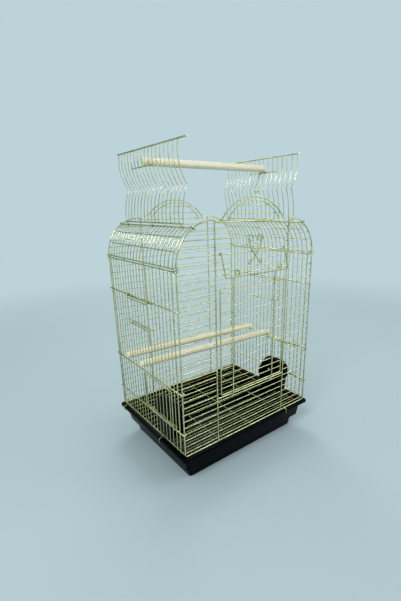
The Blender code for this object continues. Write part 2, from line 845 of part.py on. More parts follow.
def make_grate():
    """Long wires over the tray's mouth, with cross wires above and below at their ends."""
    level = -GRATE_DEPTH
    taper = (TRAY_STEP_INSET - TRAY_MOUTH_INSET) / TRAY_STEP_DEPTH
    wall_inset = TRAY_MOUTH_INSET + TRAY_WALL + taper * (GRATE_DEPTH + STOUT)
    inset = wall_inset + STOUT + GAP
    a0, a1 = inset, CAGE_WIDTH - inset
    b0, b1 = inset, CAGE_DEPTH - inset
    cut = GRATE_CORNER
    frame = [spot(HALF_W, b0, level), spot(a0 + cut, b0, level), spot(a0, b0 + cut, level)]
    frame += [spot(a0, b1 - cut, level), spot(a0 + cut, b1, level), spot(HALF_W, b1, level)]
    wires = [tube(frame, STOUT, 6, Z), tube(mirrored(frame), STOUT, 6, Z)]
    for k in range(GRATE_WIRES):
        b = b0 + (b1 - b0) * (k + 1) / (GRATE_WIRES + 1)
        wires.append(tube([spot(a0, b, level), spot(a1, b, level)], THIN))
    layer = level - 2 * THIN - GAP
    for a in GRATE_CROSS:
        run = [spot(a, b0, level), spot(a, b0 + 0.006, layer), spot(a, b1 - 0.006, layer), spot(a, b1, level)]
        wires.append(tube(run, THIN, 4, X))
    weld("floor_grate", wires, brass())


def make_cup(name, side):
    """A hooded seed cup that hangs on the lower bar of the feeder opening."""
    t = CUP_WALL
    back = HALF_W - THIN - GAP - 0.0015
    x0, x1 = back - CUP_DEPTH, back
    y0 = CUP_MIDDLE - HALF_D - CUP_WIDTH / 2
    y1 = y0 + CUP_WIDTH
    z0 = CAGE_BOTTOM + CUP_BOTTOM
    rim = z0 + CUP_HEIGHT
    top = rim + CUP_HOOD

    def ring(inset, z, extra=0.0):
        centre = Vector(((x0 + x1) / 2 + inset / 2, (y0 + y1) / 2, 0))
        half_x = CUP_DEPTH / 2 - inset / 2 - extra
        half_y = CUP_WIDTH / 2 - inset - extra
        corner = max(CUP_CORNER - extra, 0.002)
        return [p + centre for p in rounded_ring(half_x, half_y, corner, z)]

    def body(work):
        loft(work, [ring(CUP_TAPER, z0), ring(0, rim)])

    def well(work):
        loft(work, [ring(CUP_TAPER, z0 + t, t), ring(0, rim + 0.004, t)])

    def hood_section(grow, low):
        """The hood seen along the wall: an upright back under a curve that slopes inwards."""
        lip = x0 + 0.006 + grow
        back_x = x1 - 0.0008 - grow
        points = [(back_x, low), (back_x, top - 0.012)]
        points += [(back_x - 0.008, top - grow), (x1 - 0.026, top - 0.002 - grow)]
        points += [(x0 + CUP_HOOD_SLOPE + grow, rim + CUP_HOOD * 0.62)]
        points += [(lip, rim + CUP_HOOD * 0.16), (lip, low)]
        return [Vector((x, 0, z)) for x, z in points]

    def extrude_section(work, points, low, high):
        near = [work.verts.new((p.x, low, p.z)) for p in points]
        far = [work.verts.new((p.x, high, p.z)) for p in points]
        count = len(points)
        work.faces.new(near)
        work.faces.new(list(reversed(far)))
        for k in range(count):
            work.faces.new((near[(k + 1) % count], near[k], far[k], far[(k + 1) % count]))

    def dome(work, grow, low):
        """The hood's section run along the wall, lower towards both ends."""
        near, far = y0 + 0.001 + grow, y1 - 0.001 - grow
        rings = []
        for share, height in ((0, 0.72), (0.16, 1), (0.84, 1), (1, 0.72)):
            y = near + (far - near) * share
            section = hood_section(grow, low)
            for p in section:
                p.y = y
                p.z = rim + (p.z - rim) * height if p.z > rim else p.z
            rings.append(section)
        loft(work, rings)

    def hood(work):
        dome(work, 0, rim - 0.005)

    def hollow(work):
        dome(work, t, rim - 0.009)

    def mouth(work):
        """The way in for the bird: the sloping front of the hood is cut away."""
        z1 = top - 0.014
        far = x1 - CUP_MOUTH_BACK
        points = [(x0 + t + 0.001, rim - 0.007), (far, rim - 0.007), (far, z1), (x0 + t + 0.001, z1)]
        extrude_section(work, [Vector((x, 0, z)) for x, z in points], y0 + 0.012, y1 - 0.012)

    def hooks(work):
        """Two hooks that reach between the wall's wires and over the bar."""
        bar = CAGE_BOTTOM + FEEDER_RAIL + OPENING_MARGIN
        over = bar + RUNG + GAP
        near = HALF_W + RUNG + GAP
        for b in (wall_wire_b(3) + WALL_PITCH / 2, wall_wire_b(6) + WALL_PITCH / 2):
            y = b - HALF_D
            points = [
                (x1 - t * 0.7, over),
                (near, over),
                (near, over - 0.006),
                (near + 0.0016, over - 0.006),
                (near + 0.0016, over + 0.002),
                (x1 - t * 0.7, over + 0.002),
            ]
            extrude_section(work, [Vector((x, 0, z)) for x, z in reversed(points)], y - 0.004, y + 0.004)

    mesh = mesh_from(name, body)
    obj = node(name, mesh, black_plastic())
    for label, build, operation in [
        ("hood", hood, "UNION"),
        ("hooks", hooks, "UNION"),
        ("well", well, "DIFFERENCE"),
        ("hollow", hollow, "DIFFERENCE"),
        ("mouth", mouth, "DIFFERENCE"),
    ]:
        tool_mesh = mesh_from(name + "_" + label, build)
        fix_normals(tool_mesh)
        step = obj.modifiers.new(label, "BOOLEAN")
        step.operation = operation
        step.solver = "EXACT"
        step.object = helper(name + "_" + label, tool_mesh)
        if side < 0:
            mirror_mesh(tool_mesh)
    fix_normals(mesh)
    if side < 0:
        mirror_mesh(mesh)
    return obj


def fix_normals(mesh):
    work = bmesh.new()
    work.from_mesh(mesh)
    bmesh.ops.recalc_face_normals(work, faces=work.faces)
    work.to_mesh(mesh)
    work.free()


def mirror_mesh(mesh):
    work = bmesh.new()
    work.from_mesh(mesh)
    bmesh.ops.scale(work, vec=(-1, 1, 1), verts=work.verts)
    bmesh.ops.reverse_faces(work, faces=work.faces)
    work.to_mesh(mesh)
    work.free()


# Perches
def dowel(name, start, end, slots):
    """A round dowel between two points, with an upright slot in each end where it straddles a wire."""
    along = (end - start).normalized()
    length = (end - start).length
    side = along.cross(Z).normalized()
    turn = Matrix((side, Z, -along)).transposed().to_4x4()
    turn.translation = start

    def build(work):
        thin_end = PERCH_RADIUS - PERCH_BEVEL
        levels = ((thin_end, 0), (PERCH_RADIUS, PERCH_BEVEL))
        levels += ((PERCH_RADIUS, length - PERCH_BEVEL), (thin_end, length))
        sides = 16
        rings = []
        for radius, run in levels:
            ring = []
            for k in range(sides):
                angle = 2 * pi * k / sides
                ring.append(start + along * run + radius * (cos(angle) * side + sin(angle) * Z))
            rings.append(ring)
        loft(work, rings)

    mesh = mesh_from(name, build)
    fix_normals(mesh)
    obj = node(name, mesh, pale_wood())
    mesh.shade_smooth()
    mesh.set_sharp_from_angle(angle=radians(40))
    if slots:
        for label, place, inward in (("first", start, along), ("last", end, -along)):
            def box(work, place=place, inward=inward):
                bmesh.ops.create_cube(work, size=1.0)
                reach = PERCH_SLOT_DEPTH + 0.004
                size = (PERCH_SLOT_WIDTH, 3 * PERCH_RADIUS, reach)
                bmesh.ops.scale(work, vec=size, verts=work.verts)
                bmesh.ops.transform(work, matrix=turn, verts=work.verts)
                middle = place + inward * (PERCH_SLOT_DEPTH - reach / 2)
                bmesh.ops.translate(work, vec=middle - start, verts=work.verts)

            cutter = helper(name + "_" + label, mesh_from(name + "_" + label, box))
            fix_normals(cutter.data)
            cut = obj.modifiers.new(label, "BOOLEAN")
            cut.operation = "DIFFERENCE"
            cut.solver = "EXACT"
            cut.object = cutter
    return obj


def make_perches():
    height = PERCH_RAIL + STOUT + GAP + PERCH_RADIUS
    for name, wires in (("front_perch", FRONT_PERCH_WIRES), ("back_perch", BACK_PERCH_WIRES)):
        left, right = (wall_wire_b(k) for k in wires)
        dowel(
            name,
            spot(-PERCH_OVERREACH, left, height),
            spot(CAGE_WIDTH + PERCH_OVERREACH, right, height),
            True,
        )
    rest = flap_point_at(PERCH_REST_HEIGHT)
    centre = rest.z + RUNG + GAP + PERCH_RADIUS
    end_x = flap_profile()[-1].x + STOUT + 3 * GAP
    start = Vector((end_x, TOP_PERCH_OFFSET, centre))
    dowel("top_perch", start, Vector((-start.x, -start.y, centre)), False)


def clip_wire(bar, size, out):
    """A clip that loops round a bar and hooks under the tray's rim on the side that out points to."""
    loop = loop_radius(size, THIN, CURL_STEP)
    under = TRAY_HEIGHT - TRAY_WALL - TRAY_LIP - THIN - 0.0014
    edge = TRAY_RIM + THIN + 0.0012
    run = arc(bar, loop, CURL_TURN, 0, CURL_STEPS, out, Z)
    run.append(bar + out * (loop + 0.001) - Z * 0.0025)
    for reach, height in ((edge, CAGE_BOTTOM), (edge, under), (TRAY_RIM - 0.0002, under)):
        run.append(Vector((bar.x, bar.y, height)) + out * reach)
    return tube(run, THIN, 4, out.cross(Z))


def make_clips():
    for label, k in zip(("front", "back"), CLIP_WIRES):
        wires = [clip_wire(spot(0, wall_wire_b(k), WALL_BOTTOM), STOUT, -X)]
        weld("left_" + label + "_clip", wires, dark_brass())
        weld("right_" + label + "_clip", mirror_wires(wires), dark_brass())
    on_sill = spot(CAGE_WIDTH - FRONT_CLIP_FROM_RIGHT, 0, FIRST_RUNG)
    weld("door_side_clip", [clip_wire(on_sill, THIN, -Y)], dark_brass())


def main():
    clear_scene()
    make_front()
    make_back()
    make_walls()
    make_roof()
    make_flaps()
    make_latch()
    make_door()
    make_bail()
    make_scroll()
    make_side_doors()
    make_tray()
    make_grate()
    make_cup("left_cup", -1)
    make_cup("right_cup", 1)
    make_perches()
    make_clips()


main()
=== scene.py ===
from math import asin, cos, pi, radians, sin, sqrt, tan

import bmesh
import bpy
from mathutils import Matrix, Vector


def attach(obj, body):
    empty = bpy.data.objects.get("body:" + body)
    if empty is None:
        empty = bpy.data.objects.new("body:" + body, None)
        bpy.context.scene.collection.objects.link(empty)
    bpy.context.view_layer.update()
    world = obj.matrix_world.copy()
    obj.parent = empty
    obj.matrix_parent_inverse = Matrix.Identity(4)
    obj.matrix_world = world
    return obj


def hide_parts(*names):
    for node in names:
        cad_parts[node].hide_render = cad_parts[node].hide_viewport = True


# An open-top bird cage: brass plated wire panels on a black moulded tray.
# Metres. X along the front, the front faces -Y, Z up, origin under the middle of the tray.
# a = distance from the left corner post, b = distance back, h = height above the cage bottom.

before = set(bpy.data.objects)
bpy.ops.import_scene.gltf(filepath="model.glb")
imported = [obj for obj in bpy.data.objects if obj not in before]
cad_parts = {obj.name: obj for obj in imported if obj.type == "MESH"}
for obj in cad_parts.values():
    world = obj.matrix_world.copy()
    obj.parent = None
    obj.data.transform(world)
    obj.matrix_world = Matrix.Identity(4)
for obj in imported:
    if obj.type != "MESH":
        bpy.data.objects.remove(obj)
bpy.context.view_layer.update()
print("frame loaded,", len(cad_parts), "nodes")

axisX, axisY, axisZ = Vector((1, 0, 0)), Vector((0, 1, 0)), Vector((0, 0, 1))

cage = {
    "width": 0.457,
    "depth": 0.356,
    "bottom": 0.095,
    "gap": 0.0003,
    "thin": 0.00105,        # radii of the four wires
    "rung": 0.0012,
    "stout": 0.0016,
    "post": 0.0017,
    "weldSink": 0.0004,     # how far a welded wire has gone into the next
    "wave": 0.00022,        # hand-straightened wire is never quite straight
    "waveLength": 0.035,
    "sides": 12,            # facets round a wire
    "cornerBend": 0.005,
}
width, depth, cageFoot, gap, weldSink = (cage[key] for key in ("width", "depth", "bottom", "gap", "weldSink"))
halfW, halfD = width / 2, depth / 2
thin, rung, stout, post = (cage[key] for key in ("thin", "rung", "stout", "post"))


# Small helpers
def toLinear(code, alpha=1.0):  # an sRGB hex colour as linear values
    found = []
    for start in (1, 3, 5):
        value = int(code[start:start + 2], 16) / 255
        found.append(value / 12.92 if value <= 0.04045 else ((value + 0.055) / 1.055) ** 2.4)
    return (*found, alpha)


def outputOf(value):  # a node given as a value stands for its first output in use
    if isinstance(value, bpy.types.Node):
        return next(socket for socket in value.outputs if socket.enabled)
    return value


def addNode(tree, kind, settings=None, inputs=None):  # a node with its settings and its links
    made = tree.nodes.new(kind)
    for key, value in (settings or {}).items():
        setattr(made, key, value)
    for key, value in (inputs or {}).items():
        value = outputOf(value)
        if isinstance(value, bpy.types.NodeSocket):
            tree.links.new(value, made.inputs[key])
        else:
            made.inputs[key].default_value = value
    return made


def newMaterial(name):  # an empty material with its shader and output
    made = bpy.data.materials.new(name)
    made.use_nodes = True
    tree = made.node_tree
    tree.nodes.clear()
    shader = addNode(tree, "ShaderNodeBsdfPrincipled")
    addNode(tree, "ShaderNodeOutputMaterial", None, {"Surface": shader})
    return made, tree, shader


def setRamp(node, stops):  # a colour ramp from (place, colour) pairs
    ramp = node.color_ramp
    while len(ramp.elements) < len(stops):
        ramp.elements.new(0.5)
    for element, (place, colour) in zip(ramp.elements, stops):
        element.position = place
        element.color = colour


def grey(value):
    return (value, value, value, 1.0)


def dress(tree, shader, colour, rough, bump):  # the three things that vary over every surface here
    for socket, node in (("Base Color", colour), ("Roughness", rough), ("Normal", bump)):
        tree.links.new(outputOf(node), shader.inputs[socket])


def newObject(name, data):
    made = bpy.data.objects.new(name, data)
    bpy.context.scene.collection.objects.link(made)
    return made


def meshOf(name, build):  # a mesh that faces outwards, from what build puts in it
    work = bmesh.new()
    build(work)
    bmesh.ops.recalc_face_normals(work, faces=work.faces)
    mesh = bpy.data.meshes.new(name)
    work.to_mesh(mesh)
    work.free()
    return mesh


# Materials
brassFinish = {
    "wire": {"bright": "#E2E0B4", "dull": "#AEAD66", "dark": "#4A5226", "roughness": (0.14, 0.28)},
    "rod": {"bright": "#BDB768", "dull": "#7F7C3A", "dark": "#363C1C", "roughness": (0.18, 0.32)},
    # The grate's look is the same plated wire made darker: painted shade, for the grate that lies down in the
    # tray.
    "grate": {"bright": "#A8A878", "dull": "#6E6E42", "dark": "#2C3018", "roughness": (0.20, 0.36)},
    "edge": "#4C5C42",  # thin plating goes dark and greenish where it is seen at a grazing angle
    "patch": 0.022,   # metres between brighter and duller stretches of plating
    "speck": 0.0016,  # metres between small stains
    "grit": 0.0005,   # drawn wire's fine unevenness, coarser than real so that it shows
}


def brassPlate(name, look):
    # Bright brass over steel wire: thin plating, so it is warm and mirror-like where it is clean,
    # duller in patches and stained dark in specks near the welds.
    made, tree, shader = newMaterial(name)
    place = addNode(tree, "ShaderNodeTexCoord").outputs["Object"]
    patch = addNode(tree, "ShaderNodeTexNoise", None, {
        "Vector": place, "Scale": 1 / brassFinish["patch"], "Detail": 4.0, "Roughness": 0.6})
    patchRamp = addNode(tree, "ShaderNodeValToRGB", None, {"Fac": patch})
    setRamp(patchRamp, [(0.38, toLinear(look["bright"])), (0.72, toLinear(look["dull"]))])
    speck = addNode(tree, "ShaderNodeTexNoise", None, {
        "Vector": place, "Scale": 1 / brassFinish["speck"], "Detail": 3.0, "Roughness": 0.7})
    speckRamp = addNode(tree, "ShaderNodeValToRGB", None, {"Fac": speck})
    setRamp(speckRamp, [(0.62, grey(0.0)), (0.78, grey(0.75))])
    colour = addNode(tree, "ShaderNodeMix", {"data_type": "RGBA"}, {
        "Factor": speckRamp, "A": patchRamp, "B": toLinear(look["dark"])})
    low, high = look["roughness"]
    rough = addNode(tree, "ShaderNodeMapRange", None, {
        "Value": speck, "From Min": 0.3, "From Max": 0.75, "To Min": low, "To Max": high})
    grit = addNode(tree, "ShaderNodeTexNoise", None, {
        "Vector": place, "Scale": 1 / brassFinish["grit"], "Detail": 2.0})
    bump = addNode(tree, "ShaderNodeBump", None, {
        "Height": grit, "Strength": 0.12, "Distance": 0.00005})
    shader.inputs["Metallic"].default_value = 1.0
    shader.inputs["Specular Tint"].default_value = toLinear(brassFinish["edge"])
    dress(tree, shader, colour, rough, bump)
    return made


plasticFinish = {
    "base": "#010306", "worn": "#03060B", "dust": "#14181E", "specular": 0.03,
    "roughness": (0.20, 0.36), "ior": 1.53, "grain": 0.0011, "scuff": 0.028, "dustPatch": 0.05,
}


def blackPlastic():
    # Injection moulded high-impact polystyrene, black: glossy with a faint moulded grain,
    # small scuffs, and a breath of dust on what faces up.
    made, tree, shader = newMaterial("blackMouldedPolystyrene")
    place = addNode(tree, "ShaderNodeTexCoord").outputs["Object"]
    scuff = addNode(tree, "ShaderNodeTexNoise", None, {
        "Vector": place, "Scale": 1 / plasticFinish["scuff"], "Detail": 8.0, "Roughness": 0.72,
        "Distortion": 0.6})
    scuffRamp = addNode(tree, "ShaderNodeValToRGB", None, {"Fac": scuff})
    setRamp(scuffRamp, [(0.55, toLinear(plasticFinish["base"])), (0.80, toLinear(plasticFinish["worn"]))])
    facing = addNode(tree, "ShaderNodeNewGeometry")
    up = addNode(tree, "ShaderNodeSeparateXYZ", None, {"Vector": facing.outputs["Normal"]})
    dustNoise = addNode(tree, "ShaderNodeTexNoise", None, {
        "Vector": place, "Scale": 1 / plasticFinish["dustPatch"], "Detail": 6.0, "Roughness": 0.65})
    dustAmount = addNode(tree, "ShaderNodeMath", {"operation": "MULTIPLY"}, {
        0: up.outputs["Z"], 1: dustNoise})
    dust = addNode(tree, "ShaderNodeMapRange", None, {
        "Value": dustAmount, "From Min": 0.35, "From Max": 0.8, "To Min": 0.0, "To Max": 0.08})
    colour = addNode(tree, "ShaderNodeMix", {"data_type": "RGBA"}, {
        "Factor": dust, "A": scuffRamp,
        "B": toLinear(plasticFinish["dust"])})
    low, high = plasticFinish["roughness"]
    rough = addNode(tree, "ShaderNodeMapRange", None, {
        "Value": scuff, "From Min": 0.35, "From Max": 0.75, "To Min": low, "To Max": high})
    grain = addNode(tree, "ShaderNodeTexVoronoi", {"feature": "SMOOTH_F1"}, {
        "Vector": place, "Scale": 1 / plasticFinish["grain"]})
    bump = addNode(tree, "ShaderNodeBump", None, {
        "Height": grain.outputs["Distance"], "Strength": 0.25, "Distance": 0.00006})
    shader.inputs["IOR"].default_value = plasticFinish["ior"]
    shader.inputs["Specular IOR Level"].default_value = plasticFinish["specular"]
    dress(tree, shader, colour, rough, bump)
    return made


woodFinish = {
    "pale": "#FBF7E0", "warm": "#F3EAC4", "streak": "#DCC890", "grime": "#B39C62",
    "roughness": (0.50, 0.68), "fibre": 0.0009, "ring": 0.0042, "stretch": 28.0,
}


def birchDowel(name, turn):
    # Turned birch, sanded and unfinished: pale, with fine fibres along the dowel, a few darker
    # growth streaks and a little handling grime. turn is the dowel's angle about the upright axis.
    made, tree, shader = newMaterial(name)
    place = addNode(tree, "ShaderNodeTexCoord").outputs["Object"]
    along = addNode(tree, "ShaderNodeMapping", {"vector_type": "TEXTURE"}, {
        "Vector": place, "Rotation": (0, 0, turn), "Scale": (woodFinish["stretch"], 1, 1)})
    fibre = addNode(tree, "ShaderNodeTexNoise", None, {
        "Vector": along, "Scale": 1 / woodFinish["fibre"], "Detail": 5.0, "Roughness": 0.65})
    rings = addNode(tree, "ShaderNodeTexNoise", None, {
        "Vector": along, "Scale": 1 / woodFinish["ring"], "Detail": 3.0, "Distortion": 0.8})
    ringRamp = addNode(tree, "ShaderNodeValToRGB", None, {"Fac": rings})
    setRamp(ringRamp, [(0.40, toLinear(woodFinish["pale"])), (0.62, toLinear(woodFinish["warm"])),
                       (0.82, toLinear(woodFinish["streak"]))])
    fibreRamp = addNode(tree, "ShaderNodeValToRGB", None, {"Fac": fibre})
    setRamp(fibreRamp, [(0.35, grey(0.88)), (0.65, grey(1.0))])
    grain = addNode(tree, "ShaderNodeMix", {"data_type": "RGBA", "blend_type": "MULTIPLY"}, {
        "Factor": 1.0, "A": ringRamp, "B": fibreRamp})
    blotch = addNode(tree, "ShaderNodeTexNoise", None, {"Vector": place, "Scale": 38.0, "Detail": 5.0})
    grime = addNode(tree, "ShaderNodeMapRange", None, {
        "Value": blotch, "From Min": 0.52, "From Max": 0.78, "To Min": 0.0, "To Max": 0.30})
    colour = addNode(tree, "ShaderNodeMix", {"data_type": "RGBA"}, {
        "Factor": grime, "A": grain, "B": toLinear(woodFinish["grime"])})
    low, high = woodFinish["roughness"]
    rough = addNode(tree, "ShaderNodeMapRange", None, {
        "Value": fibre, "From Min": 0.3, "From Max": 0.7, "To Min": low, "To Max": high})
    bump = addNode(tree, "ShaderNodeBump", None, {
        "Height": fibre, "Strength": 0.35, "Distance": 0.0001})
    dress(tree, shader, colour, rough, bump)
    return made


brassWire = brassPlate("brightBrassPlatedWire", brassFinish["wire"])
brassRod = brassPlate("agedBrassPlatedRod", brassFinish["rod"])
# The grate gets a darker copy of the plated wire: painted shade, for where it lies down in the tray.
brassGrate = brassPlate("tarnishedBrassPlatedWire", brassFinish["grate"])
plastic = blackPlastic()
print("materials made")


# Paths
def spot(a, b, h):
    return Vector((a - halfW, b - halfD, cageFoot + h))


def inSection(points):  # (x, z) pairs as points
    return [Vector((x, 0, z)) for x, z in points]


def arcPath(centre, radius, start, end, across, up, steps=16):  # degrees from across towards up
    found = []
    for k in range(steps + 1):
        angle = radians(start + (end - start) * k / steps)
        found.append(centre + radius * (cos(angle) * across + sin(angle) * up))
    return found


def bent(points, radius, steps=6):  # a path with its corners rounded
    found = [points[0]]
    for before, corner, after in zip(points, points[1:], points[2:]):
        incoming, outgoing = (corner - before).normalized(), (after - corner).normalized()
        turn = incoming.angle(outgoing)
        if turn < radians(5):
            found.append(corner)
            continue
        reach = min(radius * tan(turn / 2), 0.48 * (corner - before).length, 0.48 * (after - corner).length)
        start = corner - incoming * reach
        middle = corner + (outgoing - incoming).normalized() * (reach / tan(turn / 2) / cos(turn / 2))
        axis = incoming.cross(outgoing)
        for k in range(steps + 1):
            found.append(middle + Matrix.Rotation(turn * k / steps, 3, axis) @ (start - middle))
    found.append(points[-1])
    return found


def spiral(centre, radius, start, turns, across, up, shrink, steps=30):  # from its outer end inwards
    found = []
    for k in range(steps + 1):
        share = k / steps
        angle = radians(start + 360 * turns * share)
        found.append(centre + radius * (1 - shrink * share) * (cos(angle) * across + sin(angle) * up))
    return found


def wires(paths, radius, copies=1, pitch=(0, 0, 0), wave=0.0):  # wires of one size, or a row of them
    return {"paths": paths, "radius": radius, "copies": copies, "pitch": Vector(pitch), "wave": wave}


def mirrored(points):  # the same points on the other side
    return [Vector((-p.x, p.y, p.z)) for p in points]


def flipped(groups, turned=False):  # the same wires on the other side, or turned half round
    sign = -1 if turned else 1
    found = []
    for group in groups:
        paths = [[Vector((-p.x, sign * p.y, p.z)) for p in path] for path in group["paths"]]
        step = group["pitch"]
        found.append({**group, "paths": paths, "pitch": Vector((-step.x, sign * step.y, step.z))})
    return found


def makeWireTree():  # path edges in, round wires out, repeated along a pitch
    tree = bpy.data.node_groups.new("drawnWire", "GeometryNodeTree")
    sockets = tree.interface
    sockets.new_socket("Paths", in_out="INPUT", socket_type="NodeSocketGeometry")
    for label, kind, value in (
        ("Wire radius", "NodeSocketFloat", thin),
        ("Facets", "NodeSocketInt", cage["sides"]),
        ("Copies", "NodeSocketInt", 1),
        ("Pitch", "NodeSocketVector", (0, 0, 0)),
        ("Wave height", "NodeSocketFloat", 0.0),
        ("Seed", "NodeSocketFloat", 7.0),
        ("Material", "NodeSocketMaterial", None),
    ):
        made = sockets.new_socket(label, in_out="INPUT", socket_type=kind)
        if value is not None:
            made.default_value = value
    sockets.new_socket("Wires", in_out="OUTPUT", socket_type="NodeSocketGeometry")
    given = addNode(tree, "NodeGroupInput").outputs
    curve = addNode(tree, "GeometryNodeMeshToCurve", None, {"Mesh": given["Paths"]})
    row = addNode(tree, "GeometryNodeMeshLine", None, {"Count": given["Copies"], "Offset": given["Pitch"]})
    placed = addNode(tree, "GeometryNodeInstanceOnPoints", None, {
        "Points": row, "Instance": curve})
    laid = addNode(tree, "GeometryNodeRealizeInstances", None, {"Geometry": placed})
    where = addNode(tree, "GeometryNodeInputPosition")
    noise = addNode(tree, "ShaderNodeTexNoise", {"noise_dimensions": "4D"}, {
        "Vector": where, "W": given["Seed"], "Scale": 11.0, "Detail": 1.0})
    centred = addNode(tree, "ShaderNodeVectorMath", {"operation": "SUBTRACT"}, {
        0: noise.outputs["Color"], 1: (0.5, 0.5, 0.5)})
    factor = addNode(tree, "GeometryNodeSplineParameter").outputs["Factor"]
    rest = addNode(tree, "ShaderNodeMath", {"operation": "SUBTRACT"}, {0: 1.0, 1: factor})
    hump = addNode(tree, "ShaderNodeMath", {"operation": "MULTIPLY"}, {0: factor, 1: rest})
    height = addNode(tree, "ShaderNodeMath", {"operation": "MULTIPLY"}, {
        0: hump, 1: given["Wave height"]})
    sway = addNode(tree, "ShaderNodeMath", {"operation": "MULTIPLY"}, {0: height, 1: 16.0})
    shift = addNode(tree, "ShaderNodeVectorMath", {"operation": "SCALE"}, {
        0: centred, "Scale": sway})
    waved = addNode(tree, "GeometryNodeSetPosition", None, {
        "Geometry": laid, "Offset": shift})
    circle = addNode(tree, "GeometryNodeCurvePrimitiveCircle", None, {
        "Resolution": given["Facets"], "Radius": given["Wire radius"]})
    skin = addNode(tree, "GeometryNodeCurveToMesh", None, {
        "Curve": waved, "Profile Curve": circle, "Fill Caps": True})
    whole = addNode(tree, "GeometryNodeRealizeInstances", None, {"Geometry": skin})
    painted = addNode(tree, "GeometryNodeSetMaterial", None, {
        "Geometry": whole, "Material": given["Material"]})
    addNode(tree, "NodeGroupOutput", None, {"Wires": painted})
    return tree


wireTree = makeWireTree()
wireSocket = {item.name: item.identifier for item in wireTree.interface.items_tree if item.in_out == "INPUT"}


def pathMesh(name, group):  # the paths as bare edges, cut finer where the wire waves
    points, edges = [], []
    for path in group["paths"]:
        start = len(points)
        for p, q in zip(path, path[1:]):
            cuts = max(1, round((q - p).length / cage["waveLength"])) if group["wave"] else 1
            points += [p.lerp(q, k / cuts) for k in range(cuts)]
        points.append(path[-1])
        edges += [(k, k + 1) for k in range(start, len(points) - 1)]
    mesh = bpy.data.meshes.new(name)
    mesh.from_pydata(points, edges, [])
    return mesh


def finished(name, mesh, look, sharp=40):  # an object in the scene from a finished mesh
    mesh.materials.clear()
    mesh.materials.append(look)
    mesh.shade_smooth()
    mesh.set_sharp_from_angle(angle=radians(sharp))
    return newObject(name, mesh)


def wirePiece(name, groups, look):  # one mesh from all the wires of a piece
    lines = []
    for group in groups:
        line = newObject(name + "Path", pathMesh(name + "Path", group))
        modifier = line.modifiers.new("wire", "NODES")
        modifier.node_group = wireTree
        for label, value in (
            ("Wire radius", group["radius"]), ("Facets", cage["sides"]), ("Copies", group["copies"]),
            ("Pitch", group["pitch"]), ("Wave height", group["wave"]), ("Material", look),
        ):
            modifier[wireSocket[label]] = value
        lines.append(line)
    graph = bpy.context.evaluated_depsgraph_get()

    def gather(work):
        for line in lines:
            made = bpy.data.meshes.new_from_object(line.evaluated_get(graph))
            work.from_mesh(made)
            bpy.data.meshes.remove(made)

    mesh = meshOf(name, gather)
    for line in lines:
        line.modifiers.clear()
        bpy.data.objects.remove(line)
    return finished(name, mesh, look)


def carry(piece, body, slot, *nodes):  # the piece stands for these nodes and moves with the body
    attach(piece, body)
    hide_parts(*nodes)


def camel(node):  # front_door's piece is called frontDoor
    first, *others = node.split("_")
    return first + "".join(word.capitalize() for word in others)


def placeWires(node, groups, body="cage", look=brassWire, slot="brass_wire"):
    carry(wirePiece(camel(node), groups, look), body, slot, node)


def placePair(part, groups, moving=False, turned=False, **finish):  # the left piece and its right twin
    for side, made in (("left_", groups), ("right_", flipped(groups, turned))):
        placeWires(side + part, made, side + part if moving else "cage", **finish)


rodFinish = {"look": brassRod, "slot": "brass_rod"}
wireRow = {"wave": cage["wave"]}
loopGap = 0.0004
curlTurn, loopTurn = 225, 270  # degrees that an end goes round the wire it holds
curlStep, loopStep = curlTurn / 4, loopTurn / 5  # the frame's loops have this many flat sides
curlSteps, loopSteps = 18, 20  # and these have this many
tuck = 0.001  # how far the end of a wire reaches past the one it is welded to


def ringRadius(inner, own, step):  # the loops keep the size that the frame's loops have
    return (inner + loopGap + own) / cos(radians(step / 2))


curl = ringRadius(post, stout, curlStep)
layer = post + thin - weldSink  # thin rungs lie on the inner side of the stout wires

# Front and back panels
panel = {
    "firstRung": 0.009, "rungPitch": 0.018, "lowRungs": 26, "highRungs": 5,
    "doorPost": 0.1055, "shoulderHeight": 0.472, "shoulder": 0.100,
    "sill": 0.127, "lintel": 0.447, "bailRail": 0.495, "archFoot": 0.567,
    "gableHalf": 0.105, "gableRise": 0.056, "innerHalf": 0.087, "innerRise": 0.048,
    "rungOverhang": 0.0013, "topClear": 0.012, "lintelClear": 0.004, "railClear": 0.003,
}
firstRung, rungPitch, lowRungs = (panel[key] for key in ("firstRung", "rungPitch", "lowRungs"))
doorPost, shoulder, shoulderZ = (panel[key] for key in ("doorPost", "shoulder", "shoulderHeight"))
sill, bailRail, archFoot, rungEnd = (panel[key] for key in ("sill", "bailRail", "archFoot", "rungOverhang"))
shoulderTail = 90 + 180 / pi * asin((doorPost - shoulder) / shoulder)
rungHeight = [firstRung + rungPitch * k for k in range(lowRungs + panel["highRungs"])]


def shoulderInset(h):
    rise = max(h - shoulderZ, 0.0)
    return shoulder - sqrt(shoulder ** 2 - rise ** 2)


def archCircle(half, rise):
    radius = (half ** 2 + rise ** 2) / (2 * rise)
    return radius, archFoot + rise - radius


def archPath(half, rise, b):
    radius, centreHeight = archCircle(half, rise)
    reach = 180 / pi * asin(half / radius)
    return arcPath(spot(halfW, b, centreHeight), radius, 90 + reach, 90 - reach, axisX, axisZ, 32)


def gable(b, inward):  # the double arch with rungs welded inside it
    groups = [
        wires([archPath(panel["gableHalf"], panel["gableRise"], b)], stout),
        wires([archPath(panel["innerHalf"], panel["innerRise"], b)], rung),
    ]
    radius, centreHeight = archCircle(panel["gableHalf"], panel["gableRise"])
    paths = []
    h = firstRung + rungPitch * len(rungHeight)
    while h < archFoot + panel["gableRise"] - panel["topClear"]:
        if h > archFoot + tuck:
            half = sqrt(radius ** 2 - (h - centreHeight) ** 2) + rungEnd
            paths.append([spot(halfW - half, b + inward, h), spot(halfW + half, b + inward, h)])
        h += rungPitch
    return groups + [wires(paths, thin, **wireRow)]


